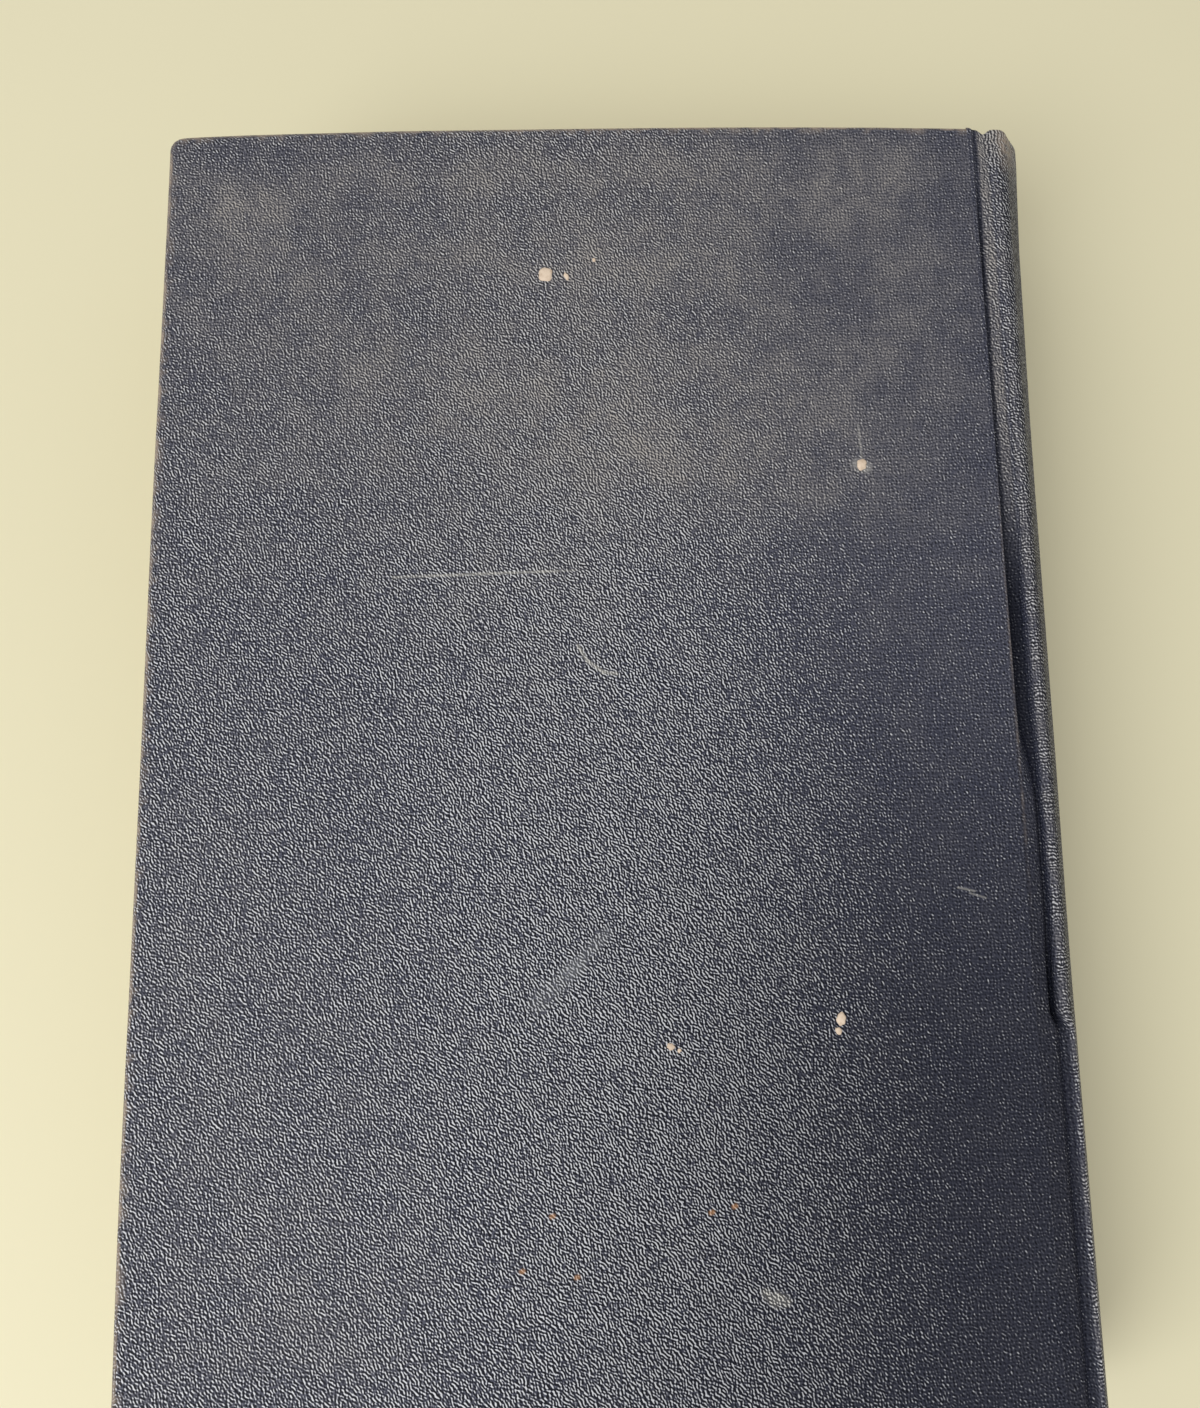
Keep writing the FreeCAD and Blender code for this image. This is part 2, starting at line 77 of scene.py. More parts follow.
CAD_BOX = [list(corner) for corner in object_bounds()]
MM = 0.001
PHOTO_SIZE = (1200, 1408)
SEED = 11
# Vertices closer than this, in millimetres, are one.
DOUBLED = 0.0001

Array = np.ndarray
Material = bpy.types.Material
Object = bpy.types.Object
Socket = bpy.types.NodeSocket
Tree = bpy.types.NodeTree
Point2 = Tuple[float, float]
Point3 = Tuple[float, float, float]
Face = Tuple[int, ...]


class Half(Enum):
    """The two covers, named as a binder names them."""

    REAR = "rear"
    FRONT = "front"


def linear(colour: str) -> Tuple[float, float, float, float]:
    """Turn an sRGB hex colour into linear values.

    Args:
        colour: six hex digits after a hash sign.

    Returns:
        Linear red, green, blue and an alpha of one.
    """
    values = [int(colour[i:i + 2], 16) / 255 for i in (1, 3, 5)]
    return tuple(v / 12.92 if v <= 0.04045 else ((v + 0.055) / 1.055) ** 2.4 for v in values) + (1.0,)


def smooth(value: Array, low: float, high: float) -> Array:
    """Ease from 0 at low to 1 at high.

    Args:
        value: numbers to ease.
        low: where the result is 0.
        high: where the result is 1.

    Returns:
        The eased numbers.
    """
    share = np.clip((np.asarray(value, float) - low) / (high - low), 0, 1)
    return share * share * (3 - 2 * share)


def mound(value: Array, centre: float, width: float) -> Array:
    """Rise to 1 at a centre and fall away on both sides.

    Args:
        value: numbers to measure from the centre.
        centre: where the mound is 1.
        width: how far from there it has fallen to about a third.

    Returns:
        The mound's height at each number.
    """
    return np.exp(-((value - centre) / width) ** 2)


def add(tree: Tree, kind: str, settings: Dict[str, object], inputs: Dict[object, object]) -> bpy.types.Node:
    """Add a node to a tree with its settings and links.

    Args:
        tree: the node tree.
        kind: the node's type name.
        settings: the node's own properties.
        inputs: a socket to link or a fixed value, by input name or number.

    Returns:
        The new node.
    """
    node = tree.nodes.new(kind)
    for name, value in settings.items():
        setattr(node, name, value)
    for name, value in inputs.items():
        if isinstance(value, Socket):
            tree.links.new(value, node.inputs[name])
        else:
            node.inputs[name].default_value = value
    return node


def blank_material(name: str) -> Tuple[Material, Tree]:
    """Start a material with an empty tree.

    Args:
        name: the finish's name.

    Returns:
        The material and its tree.
    """
    material = bpy.data.materials.new(name)
    material.use_nodes = True
    material.node_tree.nodes.clear()
    return material, material.node_tree


def place_object(name: str, data: bpy.types.ID) -> Object:
    """Put data in the scene as an object at the origin.

    Args:
        name: the object's name.
        data: its mesh, curve, lamp or camera.

    Returns:
        The linked object.
    """
    thing = bpy.data.objects.new(name, data)
    bpy.context.scene.collection.objects.link(thing)
    return thing


def make_object(name: str, points: Array, faces: Sequence[Sequence[int]],
                sheet_map: Optional[Array] = None, floats: Optional[Dict[str, Array]] = None) -> Object:
    """Make a mesh object at the origin.

    Args:
        name: the object's name.
        points: vertices in millimetres, one row each.
        faces: vertex numbers of each face.
        sheet_map: a place on the flat sheet for each vertex, in millimetres.
        floats: named numbers for each vertex.

    Returns:
        The linked object.
    """
    mesh = bpy.data.meshes.new(name)
    mesh.from_pydata((np.asarray(points, float) * MM).tolist(), [], [list(f) for f in faces])
    if sheet_map is not None:
        layer = mesh.uv_layers.new(name="sheet")
        corners = np.zeros(len(mesh.loops), int)
        mesh.loops.foreach_get("vertex_index", corners)
        places = np.asarray(sheet_map, float)[corners] * MM
        layer.data.foreach_set("uv", places.astype(np.float32).ravel())
    for label, values in (floats or {}).items():
        store = mesh.attributes.new(label, "FLOAT", "POINT")
        store.data.foreach_set("value", np.asarray(values, np.float32).ravel())
    mesh.update()
    return place_object(name, mesh)


def grid_faces(rows: int, columns: int, first: int = 0, flip: bool = False) -> List[Face]:
    """List the quads of a grid of vertices stored row by row.

    Args:
        rows: rows of vertices.
        columns: vertices in a row.
        first: number of the grid's first vertex.
        flip: turn the faces over.

    Returns:
        One tuple of vertex numbers for each quad.
    """
    quads = []
    for row in range(rows - 1):
        for column in range(columns - 1):
            a = first + row * columns + column
            quad = (a, a + 1, a + columns + 1, a + columns)
            quads.append(quad[::-1] if flip else quad)
    return quads


def weld(thing: Object, distance: float, outwards: bool = False) -> None:
    """Merge an object's doubled vertices.

    Args:
        thing: the object.
        distance: how close two vertices are to merge, in millimetres.
        outwards: also point every face of the closed mesh outwards.
    """
    mesh = bmesh.new()
    mesh.from_mesh(thing.data)
    bmesh.ops.remove_doubles(mesh, verts=mesh.verts, dist=distance * MM)
    if outwards:
        bmesh.ops.recalc_face_normals(mesh, faces=mesh.faces)
    mesh.to_mesh(thing.data)
    mesh.free()


def evaluated_mesh(thing: Object) -> bpy.types.Mesh:
    """Make a plain mesh of an object with its modifiers applied.

    Args:
        thing: a mesh or curve object.

    Returns:
        The new mesh.
    """
    bpy.context.view_layer.update()
    graph = bpy.context.evaluated_depsgraph_get()
    return bpy.data.meshes.new_from_object(thing.evaluated_get(graph), depsgraph=graph)


def thicken(thing: Object, thickness: float) -> None:
    """Give a sheet its thickness, inwards from its outer face.

    Args:
        thing: the sheet.
        thickness: its thickness in millimetres.
    """
    modifier = thing.modifiers.new("thickness", "SOLIDIFY")
    modifier.thickness = thickness * MM
    modifier.offset = -1
    modifier.use_rim = True
    mesh = evaluated_mesh(thing)
    thing.modifiers.clear()
    old, thing.data = thing.data, mesh
    bpy.data.meshes.remove(old)


def shade_smooth(thing: Object, sharp_degrees: float = 50.0) -> None:
    """Shade an object smoothly, apart from edges that turn by more than an angle."""
    thing.data.polygons.foreach_set("use_smooth", [True] * len(thing.data.polygons))
    thing.data.set_sharp_from_angle(angle=math.radians(sharp_degrees))


@dataclass(frozen=True)
class Mark:
    """A scratch, scuff or rust speck on the cover: a soft-edged stroke between two places, in millimetres."""

    start: Point2
    end: Point2
    width: float
    strength: float
    colour: str = "#a3a6ac"
    in_valleys: float = 0.3


@dataclass(frozen=True)
class BookCloth:
    """Starch-filled cotton book cloth, embossed with a fine pebble grain and rubbed by handling.

    The eye sees short slanting pebbles with pale tops, worn to a polish and painted with glints of light, and
    near-black valleys of painted shade, the threads of the weave where the grain is faint, and a dusty brown
    bloom where the navy has faded.
    """

    name: str = "navy_book_cloth"
    valley_shade: str = "#090b14"
    ground: str = "#31364c"
    fleck_and_glint: str = "#d6dae2"
    dust: str = "#aaa59f"
    shaded_dust: str = "#656468"
    worn: str = "#9b8d80"
    grain_pitch: float = 0.50
    grain_slant: float = 36.0
    grain_waves: float = 1.35
    thread_pitch: float = 0.60
    rib_pitch: float = 0.56
    relief: float = 0.12
    ground_heights: Point2 = (0.18, 0.64)
    fleck_heights: Point2 = (0.60, 0.95)
    shine_heights: Point2 = (0.25, 0.75)
    shine: Point2 = (0.15, 0.5)
    roughness: Point2 = (0.66, 0.46)
    grain_gain: Point2 = (0.62, 3.1)
    marks: Tuple[Mark, ...] = ()

    def build(self) -> Material:
        """Make the material.

        Returns:
            The material, which reads the sheet map and the wear attributes.
        """
        material, tree = blank_material(self.name)
        sheet = add(tree, "ShaderNodeUVMap", {"uv_map": "sheet"}, {}).outputs[0]
        wear = {name: add(tree, "ShaderNodeAttribute", {"attribute_name": name}, {}).outputs["Fac"]
                for name in ("dust", "rub", "deep", "rib", "warp", "edge")}
        height = self._height(tree, sheet, wear)
        # Painted shade: the grain's valleys are painted almost black, darker the lower they lie, so the grain
        # reads at arm's length.
        tone = add(tree, "ShaderNodeMapRange", {"interpolation_type": "SMOOTHSTEP"},
                   {0: height, 1: self.ground_heights[0], 2: self.ground_heights[1]}).outputs[0]
        ground = add(tree, "ShaderNodeMix", {"data_type": "RGBA"},
                     {0: tone, 6: linear(self.valley_shade), 7: linear(self.ground)}).outputs[2]
        # Hands polish the pebbles' tops, and painted glints of light on them show as small pale strokes.
        flecks_and_glints = add(tree, "ShaderNodeMapRange", {"interpolation_type": "SMOOTHSTEP"},
                     {0: height, 1: self.fleck_heights[0], 2: self.fleck_heights[1], 4: 0.97}).outputs[0]
        polished_and_glinting = add(tree, "ShaderNodeMix", {"data_type": "RGBA"},
                       {0: flecks_and_glints, 6: ground, 7: linear(self.fleck_and_glint)}).outputs[2]
        # Faded dye and dust leave a brown-grey bloom, painted paler on the tops as highlight and darker in
        # the valleys as shade, so the grain still shows.
        faded = add(tree, "ShaderNodeMix", {"data_type": "RGBA"},
                    {0: add(tree, "ShaderNodeMapRange", {}, {0: height, 1: 0.30, 2: 0.78}).outputs[0],
                     6: linear(self.shaded_dust), 7: linear(self.dust)}).outputs[2]
        bloomed = add(tree, "ShaderNodeMix", {"data_type": "RGBA"},
                      {0: self._bloom(tree, sheet, wear["dust"], height), 6: polished_and_glinting, 7: faded}).outputs[2]
        # Edges and corners are worn down to the bare cotton. The same pale colour paints the line along the
        # board's rounded edge at the joint: partly wear, partly painted highlight.
        bared_and_highlit = self._patchy(tree, sheet, wear["edge"])
        edged = add(tree, "ShaderNodeMix", {"data_type": "RGBA"},
                    {0: bared_and_highlit, 6: bloomed, 7: linear(self.worn)}).outputs[2]
        # Painted shade: the folds of the joints and each cover's corner towards the spine and the tail, where
        # no sheen falls, are darkened towards the valley colour; the grain's pale tops keep part of their
        # brightness.
        kept = add(tree, "ShaderNodeMapRange", {}, {0: flecks_and_glints, 3: 0.84, 4: 0.58}).outputs[0]
        shade = add(tree, "ShaderNodeMath", {"operation": "MULTIPLY"},
                    {0: wear["deep"], 1: kept}).outputs[0]
        shaded = add(tree, "ShaderNodeMix", {"data_type": "RGBA"},
                     {0: shade, 6: edged, 7: linear(self.valley_shade)}).outputs[2]
        colour = self._marked(tree, sheet, shaded, flecks_and_glints)
        rough = add(tree, "ShaderNodeMapRange", {},
                    {0: height, 1: 0.3, 2: 0.9, 3: self.roughness[0], 4: self.roughness[1]}).outputs[0]
        # Valleys and folds see little of the room, so only the tops shine.
        shine = add(tree, "ShaderNodeMapRange", {},
                    {0: height, 1: self.shine_heights[0], 2: self.shine_heights[1],
                     3: self.shine[0], 4: self.shine[1]}).outputs[0]
        open_air = add(tree, "ShaderNodeMapRange", {}, {0: wear["deep"], 3: 1.0, 4: 0.3}).outputs[0]
        shine = add(tree, "ShaderNodeMath", {"operation": "MULTIPLY"}, {0: shine, 1: open_air}).outputs[0]
        bump = add(tree, "ShaderNodeBump", {},
                   {"Height": height, "Strength": 1.0, "Distance": self.relief * MM}).outputs[0]
        shader = add(tree, "ShaderNodeBsdfPrincipled", {},
                     {"Base Color": colour, "Roughness": rough, "Normal": bump, "IOR": 1.5,
                      "Specular IOR Level": shine})
        add(tree, "ShaderNodeOutputMaterial", {}, {"Surface": shader.outputs[0]})
        return material

    def _height(self, tree: Tree, sheet: Socket, wear: Dict[str, Socket]) -> Socket:
        """Emboss pebbles into the weave.

        Args:
            tree: the material's tree.
            sheet: place on the flat sheet.
            wear: the wear attributes.

        Returns:
            A height about one half, from 0 to 1.
        """
        grain = add(tree, "ShaderNodeTexGabor", {"gabor_type": "2D"},
                    {"Vector": sheet, "Scale": 1 / (self.grain_pitch * self.grain_waves * MM),
                     "Frequency": self.grain_waves, "Anisotropy": 0.62,
                     "Orientation": math.radians(self.grain_slant)}).outputs[0]
        # The grain's strength follows rubbing and a painted sheen, which is weaker towards the spine side and
        # the head.
        gain = add(tree, "ShaderNodeMapRange", {"clamp": False},
                   {0: wear["rub"], 3: self.grain_gain[0], 4: self.grain_gain[1]}).outputs[0]
        centred = add(tree, "ShaderNodeMath", {"operation": "SUBTRACT"}, {0: grain, 1: 0.5}).outputs[0]
        total = add(tree, "ShaderNodeMath", {"operation": "MULTIPLY_ADD"},
                    {0: centred, 1: gain, 2: 0.5}).outputs[0]
        # Real threads are uneven, so the weave's places wander by up to half a thread.
        unevenness = add(tree, "ShaderNodeTexNoise", {"noise_dimensions": "2D"},
                         {"Vector": sheet, "Scale": 650.0, "Detail": 2.0}).outputs["Color"]
        wandering = add(tree, "ShaderNodeVectorMath", {"operation": "MULTIPLY_ADD"},
                        {0: unevenness, 1: (1.1 * MM, 1.1 * MM, 0), 2: sheet}).outputs[0]
        axes = add(tree, "ShaderNodeSeparateXYZ", {}, {0: wandering})
        for axis, pitch, share in ((0, self.thread_pitch, 0.07), (1, self.thread_pitch, 0.09),
                                   (1, self.rib_pitch, wear["rib"]), (0, self.thread_pitch, wear["warp"])):
            angle = add(tree, "ShaderNodeMath", {"operation": "MULTIPLY"},
                        {0: axes.outputs[axis], 1: math.tau / (pitch * MM)}).outputs[0]
            wave = add(tree, "ShaderNodeMath", {"operation": "SINE"}, {0: angle}).outputs[0]
            total = add(tree, "ShaderNodeMath", {"operation": "MULTIPLY_ADD"},
                        {0: wave, 1: share, 2: total}).outputs[0]
        return add(tree, "ShaderNodeClamp", {}, {0: total}).outputs[0]

    def _patchy(self, tree: Tree, sheet: Socket, amount: Socket) -> Socket:
        """Break an even amount into small worn patches.

        Args:
            tree: the material's tree.
            sheet: place on the flat sheet.
            amount: how much wear there is.

        Returns:
            The broken amount.
        """
        cloud = add(tree, "ShaderNodeTexNoise", {"noise_dimensions": "2D"},
                    {"Vector": sheet, "Scale": 420.0, "Detail": 5.0, "Roughness": 0.6}).outputs[0]
        shown = add(tree, "ShaderNodeMapRange", {},
                    {0: cloud, 1: 0.36, 2: 0.62, 3: 0.15, 4: 0.9}).outputs[0]
        return add(tree, "ShaderNodeMath", {"operation": "MULTIPLY", "use_clamp": True},
                   {0: amount, 1: shown}).outputs[0]

    def _bloom(self, tree: Tree, sheet: Socket, dust: Socket, height: Socket) -> Socket:
        """Tell how much of the faded bloom shows.

        Args:
            tree: the material's tree.
            sheet: place on the flat sheet.
            dust: how dusty the place is.
            height: the embossed height.

        Returns:
            The bloom's share of the colour.
        """
        cloud = add(tree, "ShaderNodeTexNoise", {"noise_dimensions": "2D"},
                    {"Vector": sheet, "Scale": 110.0, "Detail": 9.0, "Roughness": 0.78}).outputs[0]
        patchy = add(tree, "ShaderNodeMapRange", {},
                     {0: cloud, 1: 0.38, 2: 0.64, 3: 0.45, 4: 1.15}).outputs[0]
        tops = add(tree, "ShaderNodeMapRange", {},
                   {0: height, 1: 0.3, 2: 0.72, 3: 0.35, 4: 1.0}).outputs[0]
        amount = add(tree, "ShaderNodeMath", {"operation": "MULTIPLY"}, {0: dust, 1: patchy}).outputs[0]
        return add(tree, "ShaderNodeMath", {"operation": "MULTIPLY", "use_clamp": True},
                   {0: amount, 1: tops}).outputs[0]

    def _marked(self, tree: Tree, sheet: Socket, colour: Socket, flecks_and_glints: Socket) -> Socket:
        """Draw the marks, each broken by the grain.

        Args:
            tree: the material's tree.
            sheet: place on the flat sheet.
            colour: colour so far.
            flecks_and_glints: where the grain's tops are.

        Returns:
            The marked colour.
        """
        for mark in self.marks:
            a, b = Vector((*mark.start, 0)) * MM, Vector((*mark.end, 0)) * MM
            along = b - a
            place = add(tree, "ShaderNodeVectorMath", {"operation": "SUBTRACT"},
                        {0: sheet, 1: a}).outputs[0]
            share = add(tree, "ShaderNodeVectorMath", {"operation": "DOT_PRODUCT"},
                        {0: place, 1: along / along.length_squared}).outputs["Value"]
            share = add(tree, "ShaderNodeClamp", {}, {0: share}).outputs[0]
            foot = add(tree, "ShaderNodeVectorMath", {"operation": "SCALE"},
                       {0: along, "Scale": share}).outputs[0]
            gap = add(tree, "ShaderNodeVectorMath", {"operation": "DISTANCE"},
                      {0: place, 1: foot}).outputs["Value"]
            mask = add(tree, "ShaderNodeMapRange", {"interpolation_type": "SMOOTHSTEP"},
                       {0: gap, 1: mark.width * 0.2 * MM, 2: mark.width * MM, 3: mark.strength,
                        4: 0.0}).outputs[0]
            broken = add(tree, "ShaderNodeMapRange", {},
                         {0: flecks_and_glints, 2: 0.5, 3: mark.in_valleys, 4: 1.0}).outputs[0]
            mask = add(tree, "ShaderNodeMath", {"operation": "MULTIPLY"}, {0: mask, 1: broken}).outputs[0]
            colour = add(tree, "ShaderNodeMix", {"data_type": "RGBA"},
                         {0: mask, 6: colour, 7: linear(mark.colour)}).outputs[2]
        return colour


@dataclass(frozen=True)
class Paper:
    """Uncoated paper or board: matt, with fibre mottling and a little foxing.

    The eye sees an even warm sheet that never shines, cloudy where age and damp have browned it.
    """

    name: str
    colour: str
    stain: str
    mottle_size: float = 6.0
    roughness: float = 0.85
    streaks: bool = False
    fibre_scale: float = 4000.0
    fibre_relief: float = 0.03

    def build(self) -> Material:
        """Make the material.

        Returns:
            The material, which reads object coordinates, and the tone attribute on leaf edges.
        """
        material, tree = blank_material(self.name)
        place = add(tree, "ShaderNodeTexCoord", {}, {}).outputs["Object"]
        # Age browns the sheet in soft clouds.
        mottle = add(tree, "ShaderNodeTexNoise", {},
                     {"Vector": place, "Scale": 1 / (self.mottle_size * MM), "Detail": 8.0,
                      "Roughness": 0.6}).outputs[0]
        share = add(tree, "ShaderNodeMapRange", {}, {0: mottle, 1: 0.42, 2: 0.78}).outputs[0]
        if self.streaks:
            # Each few leaves were cut a hair deeper or dirtied more, so the cut edge reads as lines.
            tone = add(tree, "ShaderNodeAttribute", {"attribute_name": "tone"}, {}).outputs["Fac"]
            share = add(tree, "ShaderNodeMath", {"operation": "MAXIMUM"}, {0: share, 1: tone}).outputs[0]
        colour = add(tree, "ShaderNodeMix", {"data_type": "RGBA"},
                     {0: share, 6: linear(self.colour), 7: linear(self.stain)}).outputs[2]
        # Pressed fibres scatter the light, so there is no gloss.
        fibre = add(tree, "ShaderNodeTexNoise", {},
                    {"Vector": place, "Scale": self.fibre_scale, "Detail": 3.0}).outputs[0]
        bump = add(tree, "ShaderNodeBump", {},
                   {"Height": fibre, "Strength": 0.35, "Distance": self.fibre_relief * MM}).outputs[0]
        shader = add(tree, "ShaderNodeBsdfPrincipled", {},
                     {"Base Color": colour, "Normal": bump, "IOR": 1.45, "Roughness": self.roughness})
        add(tree, "ShaderNodeOutputMaterial", {}, {"Surface": shader.outputs[0]})
        return material


@dataclass(frozen=True)
class Yarn:
    """Cotton, silk or linen yarn, or an open weave of it: matt, with the twist of its plies.

    The eye sees slanting plies with soft dark lines between them.
    """

    name: str
    colour: str
    dark: str
    pitch: float = 0.5
    relief: float = 0.05

    def build(self) -> Material:
        """Make the material.

        Returns:
            The material, with diagonal plies on object coordinates.
        """
        material, tree = blank_material(self.name)
        place = add(tree, "ShaderNodeTexCoord", {}, {}).outputs["Object"]
        # The plies' twist shades the yarn in slanting lines.
        plies = add(tree, "ShaderNodeTexWave", {"bands_direction": "DIAGONAL"},
                    {"Vector": place, "Scale": 0.3 / (self.pitch * MM), "Distortion": 0.6}).outputs["Fac"]
        colour = add(tree, "ShaderNodeMix", {"data_type": "RGBA"},
                     {0: plies, 6: linear(self.dark), 7: linear(self.colour)}).outputs[2]
        bump = add(tree, "ShaderNodeBump", {},
                   {"Height": plies, "Strength": 0.6, "Distance": self.relief * MM}).outputs[0]
        shader = add(tree, "ShaderNodeBsdfPrincipled", {},
                     {"Base Color": colour, "Normal": bump, "Roughness": 0.8})
        add(tree, "ShaderNodeOutputMaterial", {}, {"Surface": shader.outputs[0]})
        return material


@dataclass
class BookSizes:
    """Sizes of the book in millimetres, read from the frame where it has them."""

    cloth: float = 0.38
    board_edge: float = 0.9
    board_corner: float = 2.3
    turn_in: float = 15.0
    groove_radius: float = 1.2
    ridge_radius: float = 1.55
    shoulder: float = 2.35
    fore_hollow: float = 4.2
    tip_gap: float = 0.02
    # From the frame: the closed book's reach, and the corners of its pieces.
    top: float = field(init=False)
    half: float = field(init=False)
    fore: float = field(init=False)
    apex: float = field(init=False)
    page_low: Point3 = field(init=False)
    page_high: Point3 = field(init=False)
    board_high: Point3 = field(init=False)
    paste_low: Point3 = field(init=False)
    wrap_low: float = field(init=False)
    # Worked out from them: the middle plane, the cover's end, the shoulder tips and the rounds.
    middle: float = field(init=False)
    cover_edge: float = field(init=False)
    flat_end: float = field(init=False)
    tip_x: float = field(init=False)
    tip_z: float = field(init=False)
    block_half: float = field(init=False)
    leaf_round: float = field(init=False)
    centre_x: float = field(init=False)
    case_round: float = field(init=False)

    def __post_init__(self) -> None:
        """Read the frame's boxes and work out the rest from them."""
        self.fore = CAD_BOX[0][0] / MM
        self.apex, self.half, self.top = (v / MM for v in CAD_BOX[1])
        self.middle = self.top / 2
        self.page_low, self.page_high = (tuple(v / MM for v in c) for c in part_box("text_block"))
        self.board_high = tuple(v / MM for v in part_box("rear_board")[1])
        self.paste_low = tuple(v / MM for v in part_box("rear_pastedown")[0])
        self.wrap_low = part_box("rear_cover_cloth")[0][2] / MM
        self.cover_edge = frame["joints"][0]["pos_m"][0] / MM - self.groove_radius
        self.flat_end = self.cover_edge - self.board_edge
        self.tip_z = self.page_high[2] - self.middle
        self.block_half = self.tip_z - self.shoulder
        self.tip_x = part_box("rear_flyleaf")[1][0] / MM + self.tip_gap
        self.leaf_round = (self.tip_z ** 2 + self.bulge ** 2) / (2 * self.bulge)
        self.centre_x = self.tip_x + self.bulge - self.leaf_round
        self.case_round = self.apex - self.centre_x

    @property
    def bulge(self) -> float:
        """How far the leaves' spine stands past the shoulder tips."""
        return self.apex - self.tip_x - self.ridge_radius


def flip_over(points: Array, sizes: BookSizes) -> Array:
    """Mirror points of the rear half to the front half.

    Args:
        points: points in rows, or any array of them.
        sizes: the book's sizes.

    Returns:
        The mirrored points.
    """
    turned = np.array(points, float)
    turned[..., 2] = sizes.top - turned[..., 2]
    return turned


@dataclass
class Wear:
    """Where the cloth is dusty or rubbed, where painted sheen brings out its grain, and where painted shade
    darkens it.

    A patch of dust has its place, its half width and half height in millimetres, and its strength.
    """

    patches: Tuple[Tuple[float, float, float, float, float], ...] = (
        (-64, 97, 9, 7, 0.55), (-60, 84, 12, 11, 0.28), (-30, 102, 24, 5, 0.34), (20, 103, 42, 5, 0.34),
        (-6, 88, 32, 7, 0.30), (12, 84, 17, 6, 0.34), (40, 99, 16, 9, 0.30), (54, 82, 9, 22, 0.22),
        (12, 49, 17, 7, 0.36), (-14, 62, 20, 9, 0.26), (-40, 70, 13, 20, 0.18), (33, 62, 15, 13, 0.22),
        (38, 44, 10, 6, 0.20), (-10, 60, 32, 24, 0.22), (20, 95, 30, 16, 0.12), (-60, 52, 16, 26, 0.10),
        (-48, -82, 14, 11, 0.12), (-66, -20, 10, 40, 0.08), (16, 58, 26, 16, 0.22), (-18, 26, 30, 18, 0.12),
        (50, 50, 14, 40, 0.16), (-56, -62, 30, 55, 0.14),
    )
    patch_share: float = 0.8

    def dust(self, x: Array, y: Array) -> Array:
        """Sum the soft patches at some places.

        Args:
            x: places across the cover.
            y: places from tail to head.

        Returns:
            Dust from 0 to 1.
        """
        total = 0.11 + 0.22 * smooth(y, 10, 80) * (1 - 0.5 * smooth(x, 20, 60))
        for cx, cy, rx, ry, amount in self.patches:
            total = total + self.patch_share * amount * mound(x, cx, rx) * mound(y, cy, ry)
        return np.clip(total, 0, 1)

    def rub(self, x: Array, y: Array) -> Array:
        """Tell how strongly the grain stands out at some places: rubbing, and a painted sheen that fades
        towards the spine side and the head.

        Args:
            x: places across the cover.
            y: places from tail to head.

        Returns:
            Strength from 0 to 1.
        """
        right = 1 - 0.94 * smooth(x + 0.08 * (y + 40), 2, 56)
        high = 1 - 0.42 * smooth(y, 20, 96)
        middle = 0.34 * mound(x, 10, 28) * mound(y, -52, 55) - 0.27 * smooth(-x, 10, 50)
        return np.clip(right * high + middle, 0, 1.4)

    def shade(self, x: Array, y: Array) -> Array:
        """Tell how much painted shade darkens the cover's corner towards the spine and the tail, where no
        sheen falls.

        Args:
            x: places across the cover.
            y: places from tail to head.

        Returns:
            Darkness from 0 to 1.
        """
        return 0.66 * smooth(-y, -40, 60) * smooth(x - 0.1 * y, -30, 52)


